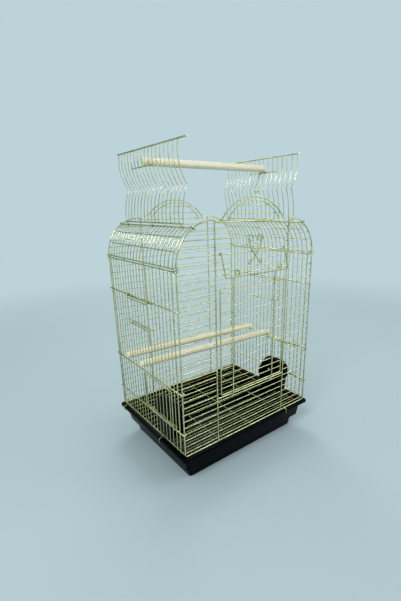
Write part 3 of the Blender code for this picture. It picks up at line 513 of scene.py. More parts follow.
def sideGrille():  # the left part of the front, from its corner post to the door post
    gate = doorPost
    outline = bent([spot(gate, 0, 0), spot(0, 0, 0), spot(0, 0, shoulderZ)], cage["cornerBend"])
    outline += arcPath(spot(shoulder, 0, shoulderZ), shoulder,
                       0, shoulderTail, -axisX, axisZ, 28)[1:]
    inner = layer
    first = firstRung
    low = [spot(-rungEnd, inner, first), spot(gate, inner, first)]
    high = []
    for h in rungHeight[lowRungs:]:
        high.append([spot(shoulderInset(h) - rungEnd, inner, h), spot(gate, inner, h)])
    return [
        wires([outline, [spot(gate, 0, 0), outline[-1]]], post),
        wires([low], thin, lowRungs, (0, 0, rungPitch), **wireRow),
        wires(high, thin, **wireRow),
    ]


def acrossDoorway(h, y=0.0):
    return [spot(doorPost, y, h), spot(width - doorPost, y, h)]


leftGrille = sideGrille()
placeWires("front_left_grille", leftGrille)
placeWires("front_right_grille", flipped(leftGrille))

sillRungs = sum(h < sill - post for h in rungHeight)
sillGrille = [
    wires([acrossDoorway(0), acrossDoorway(sill)], post),
    wires([acrossDoorway(firstRung, layer)], thin, sillRungs, (0, 0, rungPitch), **wireRow),
]
placeWires("front_sill_grille", sillGrille)

gableRungs = [h for h in rungHeight
              if h > panel["lintel"] + panel["lintelClear"] and abs(h - bailRail) > panel["railClear"]]
gableGrille = [
    wires([acrossDoorway(panel[key]) for key in ("lintel", "bailRail", "archFoot")], stout),
    wires([acrossDoorway(h, layer) for h in gableRungs], thin, **wireRow),
] + gable(0, layer)
placeWires("front_gable_grille", gableGrille)


def backPanel():
    b = depth
    foot = halfW - panel["gableHalf"]
    side = bent([spot(halfW, b, 0), spot(0, b, 0), spot(0, b, shoulderZ)], cage["cornerBend"])
    side += arcPath(spot(shoulder, b, shoulderZ), shoulder,
                    0, shoulderTail + 2, -axisX, axisZ, 28)[1:]
    side = side[:-1] + bent([side[-2], side[-1], spot(foot, b, archFoot)], 0.01)[1:]
    ends = rungEnd
    low = [spot(-ends, b - layer, firstRung), spot(width + ends, b - layer, firstRung)]
    high = []
    for h in rungHeight[lowRungs:]:
        inset = shoulderInset(h) - ends
        high.append([spot(inset, b - layer, h), spot(width - inset, b - layer, h)])
    top = shoulderZ + shoulder - tuck
    uprights = [[spot(a, b, 0), spot(a, b, top)] for a in (doorPost, width - doorPost)]
    footRail = [spot(foot, b, archFoot), spot(width - foot, b, archFoot)]
    return [
        wires([side, mirrored(side)], post),
        wires(uprights + [footRail], stout),
        wires([low], thin, lowRungs, (0, 0, rungPitch), **wireRow),
        wires(high, thin, **wireRow),
    ] + gable(b, -layer)


placeWires("back_panel", backPanel())
print("front and back panels made")

# Side walls
wall = {
    "pitch": 0.017, "count": 20, "bottom": 0.006, "topDrop": 0.004,
    "feederRail": 0.066, "perchRail": 0.177, "doorRail": 0.380,
    "upperOpening": (6, 14), "upperLow": 0.306, "feederOpening": (1, 10), "margin": 0.006,
    "easeAt": 0.010, "easeRun": 0.02, "easeBend": 0.01,
    "outward": 0.0017,  # the uprights stand this far out, where they meet the outer rails
}
wallPitch, wallCount, wallFoot, margin = (wall[key] for key in ("pitch", "count", "bottom", "margin"))
feederRail, perchRail, doorRail = (wall[key] for key in ("feederRail", "perchRail", "doorRail"))
upperOpening, upperLow, feederOpening = (wall[key] for key in ("upperOpening", "upperLow", "feederOpening"))
wallTop = shoulderZ - wall["topDrop"]
wallMargin = (depth - wallPitch * (wallCount - 1)) / 2
edgeShift = curl / 2


def wireB(k):
    return wallMargin + wallPitch * k


def mirroredBack(half):  # the back half of a bar, after its front half
    return half + [Vector((p.x, -p.y, p.z)) for p in reversed(half)]


def eased(ring, inner):  # the inner end of a curl swings round to run along the wall
    return ring[:-1] + bent([ring[-2], ring[-1], inner, inner + axisY * wall["easeRun"]],
                            wall["easeBend"])[1:]


def curledBar(h, straight=True):  # a bar from front to back whose ends curl round the posts
    ring = arcPath(spot(0, 0, h), curl, curlTurn, 0, -axisX, -axisY, curlSteps)
    return mirroredBack(ring if straight else eased(ring, spot(0, wall["easeAt"], h)))


def wallSegments(k):  # the runs of this upright between the openings
    cuts = []
    if feederOpening[0] < k < feederOpening[1]:
        cuts.append((feederRail + margin, perchRail - margin))
    if upperOpening[0] < k < upperOpening[1]:
        cuts.append((upperLow, doorRail - margin))
    low, found = wallFoot, []
    for start, end in cuts:
        found.append((low, start))
        low = end
    return found + [(low, wallTop)]


def sideWall():
    ends = post + gap
    rails = [curledBar(h) for h in (feederRail, perchRail, doorRail)]
    rails += [curledBar(wallTop, False), [spot(0, ends, wallFoot), spot(0, depth - ends, wallFoot)]]
    edges = [[spot(-edgeShift, wireB(k), h) for h in (wallFoot - tuck, wallTop + tuck)]
             for k in (0, wallCount - 1)]
    groups = [wires(rails + edges, stout)]
    runs = {}
    for k in range(1, wallCount - 1):
        for segment in wallSegments(k):
            runs.setdefault(segment, []).append(k)
    for (low, high), members in sorted(runs.items()):
        first = last = members[0]
        for k in members[1:] + [None]:
            if k == last + 1:
                last = k
                continue
            path = [spot(-wall["outward"], wireB(first), h) for h in (low - tuck, high + tuck)]
            groups.append(wires([path], thin, last - first + 1, (0, wallPitch, 0), **wireRow))
            first = last = k
    borders = []
    for (first, last), heights in (
        (upperOpening, (upperLow, doorRail - margin)),
        (feederOpening, (feederRail + margin, perchRail - margin)),
    ):
        borders += [[spot(0, b, h) for b in (wireB(first) - tuck, wireB(last) + tuck)] for h in heights]
    return groups + [wires(borders, rung)]


placePair("wall", sideWall())

# Roof shoulders
roof = {"railRise": 0.002, "seamAngle": 58.3, "crossShares": (0.36, 0.70), "inward": 0.0016, "overhang": 1.2}
railAngle = 180 / pi * asin(roof["railRise"] / shoulder)


def roofDirection(angle):
    return Vector((-cos(radians(angle)), 0, sin(radians(angle))))


def roofSpot(angle, b, radius=shoulder):
    return spot(shoulder, b, shoulderZ) + roofDirection(angle) * radius


def roofShoulder():
    bars = []
    for angle in (railAngle, roof["seamAngle"]):
        ring = arcPath(roofSpot(angle, 0), curl, curlTurn, 0, roofDirection(angle), -axisY, curlSteps)
        bars.append(mirroredBack(eased(ring, roofSpot(angle, wall["easeAt"]))))
    inside = shoulder - roof["inward"]
    run = arcPath(spot(shoulder, wireB(0), shoulderZ), inside,
                  railAngle - roof["overhang"], roof["seamAngle"] + roof["overhang"], -axisX, axisZ, 10)
    crosses = []
    for share in roof["crossShares"]:
        angle = railAngle + (roof["seamAngle"] - railAngle) * share
        proud = inside + 2 * thin - weldSink
        ends = (wireB(0) - 2 * tuck, wireB(wallCount - 1) + 2 * tuck)
        crosses.append([roofSpot(angle, b, proud) for b in ends])
    return [
        wires(bars, stout),
        wires([run], thin, wallCount, (0, wallPitch, 0)),
        wires(crosses, thin, **wireRow),
    ]


placePair("roof", roofShoulder())
print("walls and roof made")

# Roof flaps, standing open
flap = {
    "count": 17, "edge": 0.035, "barRise": 0.0075,
    "lower": {"chord": 0.0905, "lean": 9.0, "bulge": 0.005},
    "upper": {"chord": 0.087, "lean": -12.1, "bulge": 0.009},
    "longOverhang": 0.036, "shortOverhang": 0.005,
    "restWires": (6, 12), "restHeight": 0.136, "restStandoff": 0.0035, "restStep": 0.005,
    "barOut": 0.0014, "hingesAt": (1.5, 9.5, 17.5), "kinkBend": 0.004,
}
flapPitch = (depth - 2 * flap["edge"]) / (flap["count"] - 1)
seam = roofSpot(roof["seamAngle"], halfD)


def atDepth(point, b):
    return Vector((point.x, b - halfD, point.z))


def lobe(start, values, chord, steps=10):  # a shallow arc that leans in and bulges outwards
    lean = radians(values["lean"])
    along = Vector((sin(lean), 0, cos(lean)))
    out = Vector((-along.z, 0, along.x))
    return [start + along * (chord * s / steps) + out * (4 * values["bulge"] * s / steps * (1 - s / steps))
            for s in range(steps + 1)]


flapFoot = seam + axisZ * flap["barRise"]
lowerLobe = lobe(flapFoot, flap["lower"], flap["lower"]["chord"] - flap["barRise"])
upperLobe = lobe(lowerLobe[-1], flap["upper"], flap["upper"]["chord"])
coarseFlap = lobe(flapFoot, flap["lower"], flap["lower"]["chord"] - flap["barRise"], 2)
coarseFlap += lobe(coarseFlap[-1], flap["upper"], flap["upper"]["chord"], 3)[1:]
flapTip = upperLobe[-1]


def onFlap(height):  # where the frame's flap is at this height above its hinge
    level = seam.z + height
    for low, high in zip(coarseFlap, coarseFlap[1:]):
        if low.z <= level <= high.z:
            return low.lerp(high, (level - low.z) / (high.z - low.z))
    return flapTip


perchRest = onFlap(flap["restHeight"]) + axisX * flap["restStandoff"]


def roofFlap():
    first = flap["edge"]
    last = first + flapPitch * (flap["count"] - 1)
    kink = bent([lowerLobe[-2], lowerLobe[-1], upperLobe[1]], flap["kinkBend"])
    profile = lowerLobe[:-2] + kink + upperLobe[2:]
    out = -axisX * flap["barOut"]
    bars = [
        [atDepth(flapFoot + out, b) for b in (first - 2 * tuck, last + 2 * tuck)],
        [atDepth(flapTip + out, b) for b in (first - flap["longOverhang"], last + flap["shortOverhang"])],
    ]
    low, high = (first + flapPitch * k for k in flap["restWires"])
    rest = perchRest - axisX * flap["restStandoff"]
    step = flap["restStep"]
    cross = bent([atDepth(rest, low - tuck), atDepth(perchRest, low + step),
                  atDepth(perchRest, high - step), atDepth(rest, high + tuck)], flap["kinkBend"])
    loops = []
    ring = ringRadius(stout, rung, loopStep)
    for k in flap["hingesAt"]:
        path = arcPath(atDepth(seam, wireB(k)), ring, -loopTurn, 0, -axisX, axisZ, loopSteps)
        loops.append(path + [atDepth(seam, wireB(k)) - axisX * ring + axisZ * (flap["barRise"] + stout)])
    wire = [atDepth(p, first) for p in profile]
    return [
        wires(bars, stout),
        wires([wire], thin, flap["count"], (0, flapPitch, 0)),
        wires([cross] + loops, rung),
    ]


placePair("flap", roofFlap(), True, True)

latch = {"length": 0.058, "at": 0.2065, "width": 0.017, "kinkOut": 0.0042, "bend": 0.004}


def topLatch():  # two stems that hang from the perch rest, joined at their feet
    kink = onFlap(flap["lower"]["chord"] * cos(radians(flap["lower"]["lean"])))
    away = (kink + axisX * latch["kinkOut"] - perchRest).normalized()
    side = Vector((away.z, 0, -away.x))
    side = side if side.x > 0 else -side
    ring = ringRadius(rung, thin, loopStep)
    eye = arcPath(atDepth(perchRest, latch["at"] - latch["width"]), ring, loopTurn, 0, side, -away, loopSteps)
    foot = atDepth(perchRest, latch["at"] - latch["width"]) + side * ring + away * latch["length"]
    near = eye + [foot]
    far = [p + axisY * latch["width"] for p in reversed(near)]
    bottom = bent([eye[-1], foot, far[0], far[1]], latch["bend"])
    return flipped([wires([eye + bottom[1:-1] + far[1:]], thin)], True)


placeWires("top_latch", topLatch(), "top_latch", **rodFinish)
print("flaps and latch made")

# Front door, dropping outwards about the sill, and the bail that keeps it shut
door = {
    "stile": 0.117, "member": 0.156, "top": 0.416, "foot": 0.1345, "plane": -0.0018,
    "rungPlane": -0.0016, "bend": 0.004, "memberGap": 0.0012, "rungGap": 0.006,
    "bailArm": 0.121, "bailDrop": 0.053, "bailLean": 0.019,
    "curlReach": 0.009, "curlTurns": 1.3, "curlShrink": 0.62,
}


def frontDoor():
    left, right = door["stile"], width - door["stile"]
    plane = door["plane"]
    foot, top = door["foot"], door["top"]
    corners = [spot(a, plane, h) for a, h in (
        (halfW, foot), (left, foot), (left, top), (right, top), (right, foot), (halfW, foot))]
    paths = [bent(corners, door["bend"])]
    memberTop = bailRail - door["bailDrop"] - stout - rung - door["memberGap"]
    for a in (door["member"], width - door["member"]):
        run = arcPath(spot(a, 0, sill), curl, curlTurn, 0, -axisY, -axisZ, curlSteps)
        paths.append(run + [spot(a, -curl, memberTop)])
    heights = [h for h in rungHeight if foot + door["rungGap"] < h <= top - door["rungGap"]]
    row = [spot(left, door["rungPlane"], heights[0]), spot(right, door["rungPlane"], heights[0])]
    return [
        wires(paths, stout),
        wires([row], thin, len(heights), (0, 0, rungPitch), **wireRow),
    ]


def doorBail():
    ring = ringRadius(stout, rung, curlStep)
    pivot = spot(door["bailArm"], 0, bailRail)
    eye = arcPath(pivot, ring, curlTurn, 0, -axisY, axisZ, curlSteps)
    foot = spot(door["bailArm"], -door["bailLean"], bailRail - door["bailDrop"])
    other = mirrored([foot])[0]
    half = bent([eye[-2], eye[-1], foot, other], door["bend"])
    half = [p for p in half if p.x < 0 and (p - other).length > 1e-4]
    whole = eye[:-2] + half
    whole += mirrored(reversed(whole))
    curls = []
    for a in (door["member"], width - door["member"]):
        seat = spot(a, -door["bailLean"], bailRail - door["bailDrop"])
        curls.append(spiral(seat + axisZ * door["curlReach"], door["curlReach"], -90, door["curlTurns"],
                            axisX, axisZ, door["curlShrink"]))
    return [wires([whole], rung), wires(curls, thin)]


placeWires("front_door", frontDoor(), "front_door")
placeWires("door_bail", doorBail(), "door_bail", **rodFinish)

scroll = {
    "height": 0.084, "width": 0.048, "rise": 0.012, "bend": 0.02,
    "headTurns": 1.1, "headShrink": 0.60, "headShare": 0.21, "headAt": 0.80,  # shares of its width and height
    "tailTurns": 1.0, "tailShrink": 0.55, "tailShare": 0.12, "tailAt": 0.13, "elbow": (0.42, 0.46),
}


def scrollOrnament():  # two crossed strokes with a spiral at each end
    front = -(stout + gap + thin)
    middle = spot(halfW, front, panel["lintel"] + scroll["rise"])
    half, height = scroll["width"] / 2, scroll["height"]
    big, small = scroll["width"] * scroll["headShare"], scroll["width"] * scroll["tailShare"]
    head = spiral(middle - axisX * (half - big) + axisZ * height * scroll["headAt"], big, 0,
                  scroll["headTurns"], -axisX, axisZ, scroll["headShrink"])
    tail = spiral(middle + axisX * (half - small) + axisZ * height * scroll["tailAt"], small, -90,
                  scroll["tailTurns"], axisX, axisZ, scroll["tailShrink"])
    elbow = middle - axisX * half * scroll["elbow"][0] + axisZ * height * scroll["elbow"][1]
    stroke = list(reversed(head))[:-1] + bent([head[0], elbow, tail[0]], scroll["bend"], 10) + tail[1:]
    across = [Vector((-p.x, p.y - 1.6 * thin, p.z)) for p in stroke]
    return [wires([stroke, across], thin)]


placeWires("front_scroll", scrollOrnament(), **rodFinish)
print("front door, bail and scroll made")

# Small side doors, outside the walls
sideDoor = {
    "wire": 0.0012, "rowInward": 0.0012, "spread": 0.004, "railGap": 0.008, "below": 0.003, "short": 0.005,
    "tab": {"radius": 0.004, "turns": 0.8, "shrink": 0.3, "steps": 16},
    "catch": {"radius": 0.006, "turns": 0.85, "shrink": 0.4, "steps": 18},
    "catchIn": 0.012, "catchLift": 0.007,
}
doorLoop = ringRadius(stout, sideDoor["wire"], loopStep)
doorOut = curl + doorLoop


def upperDoor():
    first, last = upperOpening
    b0, b1 = wireB(first + 1) - sideDoor["spread"], wireB(last - 1) + sideDoor["spread"]
    low, high = upperLow - sideDoor["below"], doorRail - sideDoor["railGap"]
    size = sideDoor["tab"]["radius"]
    paths = []
    for b in (b0, b1):
        ring = arcPath(spot(-curl, b, doorRail), doorLoop, loopTurn, 0, -axisX, axisZ, loopSteps)
        paths.append(ring + [spot(-doorOut, b, low)])
    tab = spiral(spot(-doorOut, b0 - size, low + size), start=-90, across=-axisY, up=axisZ, **sideDoor["tab"])
    paths.append([spot(-doorOut, b1, low), spot(-doorOut, b0, low)] + tab)
    paths.append([spot(-doorOut, b0, high), spot(-doorOut, b1, high)])
    row = [spot(-doorOut + sideDoor["rowInward"], wireB(first + 2), h) for h in (low, high)]
    return [wires(paths, sideDoor["wire"]), wires([row], thin, last - first - 3, (0, wallPitch, 0))]


def feederDoor():
    first, last = feederOpening
    b0, b1 = wireB(first) + sideDoor["spread"], wireB(last) - sideDoor["railGap"]
    low, high = feederRail + sideDoor["railGap"], perchRail - sideDoor["short"]
    paths = []
    for b in (b0, b1):
        ring = arcPath(spot(-curl, b, feederRail), doorLoop, loopTurn, 0, -axisX, -axisZ, loopSteps)
        paths.append(ring + [spot(-doorOut, b, high)])
    paths += [[spot(-doorOut, b, h) for b in (b0, b1)] for h in (low, high)]
    catchB = b0 + sideDoor["catchIn"]
    catch = spiral(spot(-doorOut, catchB, high + sideDoor["catchLift"]),
                   start=-90, across=axisY, up=axisZ, **sideDoor["catch"])
    paths.append([spot(-doorOut, catchB, high)] + catch)
    row = [spot(-doorOut + sideDoor["rowInward"], wireB(first + 1), h) for h in (low, high)]
    return [wires(paths, sideDoor["wire"]), wires([row], thin, last - first - 1, (0, wallPitch, 0))]


placePair("upper_door", upperDoor(), True)
placePair("feeder_door", feederDoor(), True)
print("side doors made")

# Tray
tray = {
    "height": 0.093, "wall": 0.0025, "rim": 0.011, "lip": 0.005, "mouthInset": 0.003,
    "stepDepth": 0.055, "stepInset": 0.010, "ledge": 0.013, "ledgeDrop": 0.006, "footInset": 0.028,
    "corner": 0.008, "cornerSteps": 12,
}


def roundedRing(halfX, halfY, corner, z, steps):
    found = []
    for cx, cy, start in ((1, 1, 0), (-1, 1, 90), (-1, -1, 180), (1, -1, 270)):
        centre = Vector((cx * (halfX - corner), cy * (halfY - corner), z))
        found += arcPath(centre, corner, start, start + 90, axisX, axisY, steps)
    return found


def loft(work, rings):  # a skin over closed rings, with both ends filled
    rows = [[work.verts.new(p) for p in ring] for ring in rings]
    count = len(rows[0])
    for low, high in zip(rows, rows[1:]):
        for k in range(count):
            work.faces.new((low[k], low[(k + 1) % count], high[(k + 1) % count], high[k]))
    work.faces.new(list(reversed(rows[0])))
    work.faces.new(rows[-1])


def trayProfile():  # (offset outside the cage, height), up the outside and down the inside
    t, top = tray["wall"], tray["height"]
    mouth, step = -tray["mouthInset"], -tray["stepInset"]
    ledge, foot = step - tray["ledge"], -tray["footInset"]
    stepZ = top - tray["stepDepth"]
    ledgeZ = stepZ - tray["ledgeDrop"]
    rim, lipZ = tray["rim"], top - t - tray["lip"]
    corners = [  # each corner and the radius it is rounded by
        ((foot - 0.004, 0.0), 0.0), ((foot, 0.0), 0.0022), ((ledge, ledgeZ), 0.0025), ((step, stepZ), 0.0025),
        ((mouth, top - t - 0.002), 0.002), ((rim - t, top - t), 0.0012), ((rim - t, lipZ), 0.0003),
        ((rim, lipZ), 0.0003), ((rim, top), 0.0020), ((mouth - t, top), 0.003),
        ((step - t, stepZ + t * 0.6), 0.0022), ((ledge - t, ledgeZ + t * 0.6), 0.0022),
        ((foot - t, t), 0.0040), ((foot - t - 0.008, t), 0.0),
    ]
    points = inSection(place for place, radius in corners)
    found = [points[0]]
    for index in range(1, len(points) - 1):
        piece = bent(points[index - 1:index + 2], corners[index][1], 4)
        found += piece[1:-1]
    return found + [points[-1]]


def trayRing(point):
    return roundedRing(halfW + point.x, halfD + point.x, tray["corner"], point.z, tray["cornerSteps"])


trayMesh = meshOf("tray", lambda work: loft(work, [trayRing(p) for p in trayProfile()]))
carry(finished("dropTray", trayMesh, plastic, 50), "cage", "black_plastic", "tray")

# Floor grate
grate = {
    "count": 14, "crossAt": (0.122, 0.240, 0.365), "depth": 0.010, "corner": 0.012,
    "dip": 0.006, "dipBend": 0.01,
}


def floorGrate():
    level = -grate["depth"]
    taper = (tray["stepInset"] - tray["mouthInset"]) / tray["stepDepth"]
    inset = tray["mouthInset"] + tray["wall"] + taper * (grate["depth"] + stout) + stout + gap
    a0, a1, b0, b1 = inset, width - inset, inset, depth - inset
    rimPath = bent([spot(a, b, level) for a, b in (
        (halfW, b0), (a0, b0), (a0, b1), (a1, b1), (a1, b0), (halfW, b0))], grate["corner"], 10)
    step = (b1 - b0) / (grate["count"] + 1)
    rise = stout + thin - weldSink
    longWire = [spot(a, b0 + step, level + rise * 0.5) for a in (a0 - tuck, a1 + tuck)]
    under = level + rise * 0.5 - 2 * thin + weldSink
    dip = grate["dip"]
    run = ((b0, level), (b0 + dip, under), (b1 - dip, under), (b1, level))
    crosses = [bent([spot(a, b, h) for b, h in run], grate["dipBend"]) for a in grate["crossAt"]]
    return [
        wires([rimPath], stout),
        wires([longWire], thin, grate["count"], (0, step, 0), **wireRow),
        wires(crosses, thin),
    ]


placeWires("floor_grate", floorGrate(), look=brassGrate)
print("tray and grate made")

# Seed cups
cup = {
    "width": 0.090, "depth": 0.058, "height": 0.050, "hood": 0.052, "wall": 0.0022, "middle": 0.107,
    "bottom": 0.014, "corner": 0.012, "taper": 0.006, "voxel": 0.0009, "keep": 0.35, "smooth": 4,
}


def extruded(work, points, low, high):  # a section in X and Z run along Y
    near = [work.verts.new((p.x, low, p.z)) for p in points]
    far = [work.verts.new((p.x, high, p.z)) for p in points]
    work.faces.new(near)
    work.faces.new(list(reversed(far)))
    count = len(points)
    for k in range(count):
        work.faces.new((near[(k + 1) % count], near[k], far[k], far[(k + 1) % count]))


def carved(name, mesh, look, tools, ease=None):  # a mesh joined to other shapes or cut by them
    made = finished(name, mesh, look)
    helpers = [made]
    for label, build, operation in tools:
        tool = newObject(name + label, meshOf(name + label, build))
        step = made.modifiers.new(label, "BOOLEAN")
        step.operation, step.solver, step.object = operation, "EXACT", tool
        helpers.append(tool)
    if ease:
        ease(made)
    mesh = bpy.data.meshes.new_from_object(made.evaluated_get(bpy.context.evaluated_depsgraph_get()))
    made.modifiers.clear()
    for thing in helpers:
        bpy.data.objects.remove(thing)
    return mesh


def seedCup(name):  # the right cup: a hooded trough that hooks over the opening's lower bar
    t = cup["wall"]
    x1 = halfW - thin - gap - 0.0015
    x0 = x1 - cup["depth"]
    y0 = cup["middle"] - halfD - cup["width"] / 2
    y1 = y0 + cup["width"]
    z0 = cageFoot + cup["bottom"]
    rim = z0 + cup["height"]
    top = rim + cup["hood"]

    def ring(inset, z, extra=0.0):
        centre = Vector(((x0 + x1) / 2 + inset / 2, (y0 + y1) / 2, 0))
        corner = max(cup["corner"] - extra, 0.002)
        halfX, halfY = (cup["depth"] - inset) / 2 - extra, cup["width"] / 2 - inset - extra
        return [p + centre for p in roundedRing(halfX, halfY, corner, z, 8)]

    def dome(work, grow, low):
        back, lip = x1 - 0.0008 - grow, x0 + 0.006 + grow
        section = [(back, low), (back, top - 0.012), (x1 - 0.008 - grow, top - grow),
                   (x1 - 0.026, top - 0.002 - grow), (x0 + 0.018 + grow, rim + cup["hood"] * 0.62),
                   (lip, rim + cup["hood"] * 0.16), (lip, low)]
        smooth = bent(inSection(section), 0.02, 6)
        near, far = y0 + 0.001 + grow, y1 - 0.001 - grow
        rings = []
        for step in range(25):
            share = step / 24
            height = 1 - 0.28 * abs(2 * share - 1) ** 5
            y = near + (far - near) * share
            rings.append([Vector((p.x, y, rim + (p.z - rim) * height if p.z > rim else p.z)) for p in smooth])
        loft(work, rings)

    def mouth(work):
        far, z1 = x1 - 0.022, top - 0.014
        section = [(x0 + t + 0.001, rim - 0.007), (far, rim - 0.007), (far, z1), (x0 + t + 0.001, z1)]
        extruded(work, inSection(section), y0 + 0.012, y1 - 0.012)

    def hooks(work):
        over = cageFoot + feederRail + margin + rung + gap
        near = halfW + rung + gap
        section = [(x1 - t * 0.7, over), (x1 - t * 0.7, over + 0.002), (near + 0.0016, over + 0.002),
                   (near + 0.0016, over - 0.006), (near, over - 0.006), (near, over)]
        for k in (3, 6):
            y = wireB(k) + wallPitch / 2 - halfD
            extruded(work, inSection(section), y - 0.004, y + 0.004)

    def trough(work):
        loft(work, [ring(cup["taper"], z0), ring(0, rim)])

    def well(work):
        loft(work, [ring(cup["taper"], z0 + t, t), ring(0, rim + 0.004, t)])

    def soften(made):  # one skin over it all, with its edges eased as a mould leaves them
        remesh = made.modifiers.new("skin", "REMESH")
        remesh.mode, remesh.voxel_size = "VOXEL", cup["voxel"]
        smooth = made.modifiers.new("soften", "SMOOTH")
        smooth.factor, smooth.iterations = 0.5, cup["smooth"]
        made.modifiers.new("fewer", "DECIMATE").ratio = cup["keep"]

    return carved(name, meshOf(name, trough), plastic, (
        ("hood", lambda work: dome(work, 0, rim - 0.005), "UNION"),
        ("hooks", hooks, "UNION"),
        ("well", well, "DIFFERENCE"),
        ("hollow", lambda work: dome(work, t, rim - 0.009), "DIFFERENCE"),
        ("mouth", mouth, "DIFFERENCE"),
    ), soften)


def mirrorOf(source):  # puts a mirrored copy that still faces outwards in an empty mesh
    def build(work):
        work.from_mesh(source)
        bmesh.ops.scale(work, vec=(-1, 1, 1), verts=work.verts)
        bmesh.ops.reverse_faces(work, faces=work.faces)
    return build


rightCupMesh = seedCup("cupShape")
leftCupMesh = meshOf("leftCup", mirrorOf(rightCupMesh))
for side, mesh in (("right", rightCupMesh), ("left", leftCupMesh)):
    carry(finished(side + "Cup", mesh, plastic, 60), side + "_cup", "black_plastic", side + "_cup")
print("cups made,", len(rightCupMesh.polygons), "faces each")

# Perches
perch = {
    "radius": 0.0095, "slotWidth": 0.0036, "slotDepth": 0.011, "overreach": 0.0060,
    "frontWires": (11, 9), "backWires": (16, 14), "topOffset": 0.020, "sides": 40, "chamfer": 0.0011,
    "slotStart": 0.004,  # outside the end, so that the saw cut runs out of it
}


def dowel(name, start, end, slots):  # a turned dowel, with or without a sawn slot in each end
    along = (end - start).normalized()
    length = (end - start).length
    side = along.cross(axisZ).normalized()
    levels = []
    radius, chamfer = perch["radius"], perch["chamfer"]
    for k in range(5):  # a small rounded chamfer at each end
        angle = pi / 2 * k / 4
        levels.append((radius - chamfer * (1 - sin(angle)), chamfer * (1 - cos(angle))))
    levels += [(radius, length - run) for radius, run in reversed(levels)]

    def body(work):
        rings = []
        for radius, run in levels:
            rings.append([start + along * run + radius * (cos(2 * pi * k / perch["sides"]) * side
                          + sin(2 * pi * k / perch["sides"]) * axisZ) for k in range(perch["sides"])])
        loft(work, rings)

    turn = Vector((1, 0, 0)).rotation_difference(along).to_euler().z
    look = birchDowel(name + "Birch", turn)
    mesh = meshOf(name, body)
    cuts = []
    for place, inward in ((start, along), (end, -along)) if slots else ():
        def saw(work, place=place, inward=inward):  # a saw cut with a round bottom
            half = perch["slotWidth"] / 2
            outline = [place - inward * perch["slotStart"] - side * half]
            outline += arcPath(place + inward * (perch["slotDepth"] - half), half, 180, 0, side, inward, 10)
            outline.append(place - inward * perch["slotStart"] + side * half)
            loft(work, [[p + axisZ * h for p in outline] for h in (-2 * radius, 2 * radius)])

        cuts.append(("Slot", saw, "DIFFERENCE"))
    if cuts:
        mesh = carved(name, mesh, look, cuts)
    return finished(name, mesh, look, 50)


perchHeight = perchRail + stout + gap + perch["radius"]
for node, pair in (("front_perch", "frontWires"), ("back_perch", "backWires")):
    nearB, farB = (wireB(k) for k in perch[pair])
    start = spot(-perch["overreach"], nearB, perchHeight)
    end = spot(width + perch["overreach"], farB, perchHeight)
    carry(dowel(camel(node), start, end, True), node, "dowel_wood", node)
topZ = perchRest.z + rung + gap + perch["radius"]
topEnd = Vector((flapTip.x + stout + 3 * gap, perch["topOffset"], topZ))
otherEnd = Vector((-topEnd.x, -topEnd.y, topZ))
carry(dowel("topPerch", topEnd, otherEnd, False), "top_perch", "dowel_wood", "top_perch")
print("perches made")

# Wire clips that tie the panels to the tray's rim
clip = {
    "wallWires": (5.5, 18.5), "frontAt": 0.364, "bend": 0.002,
    "below": 0.0014, "beyond": 0.0012, "grip": 0.0002,
    "start": (0.001, 0.0025),  # out from the eye, and down
}


def clipPath(bar, size, out):
    ring = ringRadius(size, thin, curlStep)
    under = tray["height"] - tray["wall"] - tray["lip"] - thin - clip["below"]
    edge = tray["rim"] + thin + clip["beyond"]
    startOut, startDrop = clip["start"]
    corner = Vector((bar.x, bar.y, 0)) if out.x else Vector((bar.x, -halfD, 0))
    eye = arcPath(bar, ring, curlTurn, 0, out, axisZ, curlSteps)
    run = [eye[-1], bar + out * (ring + startOut) - axisZ * startDrop]
    for reach, height in ((edge, cageFoot), (edge, under), (tray["rim"] - clip["grip"], under)):
        run.append(corner + out * reach + axisZ * height)
    return eye[:-1] + bent(run, clip["bend"])


for label, k in zip(("front", "back"), clip["wallWires"]):
    tie = [wires([clipPath(spot(0, wireB(k), wallFoot), stout, -axisX)], thin)]
    placePair(label + "_clip", tie, **rodFinish)
sideTie = [wires([clipPath(spot(clip["frontAt"], layer, firstRung), thin, -axisY)], thin)]
placeWires("door_side_clip", sideTie, **rodFinish)
print("clips made")

# Floor, light and camera
studio = {
    "floor": "#B4CCD2", "background": "#BCD3D9", "floorHalf": 30.0, "fadeFrom": 1.1, "fadeTo": 3.0,
    "worldLight": 0.48,
    "lamps": {  # name: place, aimed at, size, watts
        "key": ((-1.8, -1.1, 2.3), (0.0, 0.0, 0.45), 0.9, 34.0),
        "fill": ((1.7, -1.6, 1.5), (0.0, 0.0, 0.35), 1.4, 14.0),
        "back": ((1.0, 1.8, 2.1), (0.0, 0.0, 0.50), 1.0, 20.0),
    },
}


def seenRays(tree):  # what the camera sees, also in metal and through glass, is the pale background
    rays = addNode(tree, "ShaderNodeLightPath").outputs
    seen = rays["Is Camera Ray"]
    for kind in ("Is Glossy Ray", "Is Transmission Ray"):
        seen = addNode(tree, "ShaderNodeMath", {"operation": "MAXIMUM"}, {0: seen, 1: rays[kind]}).outputs[0]
    return seen


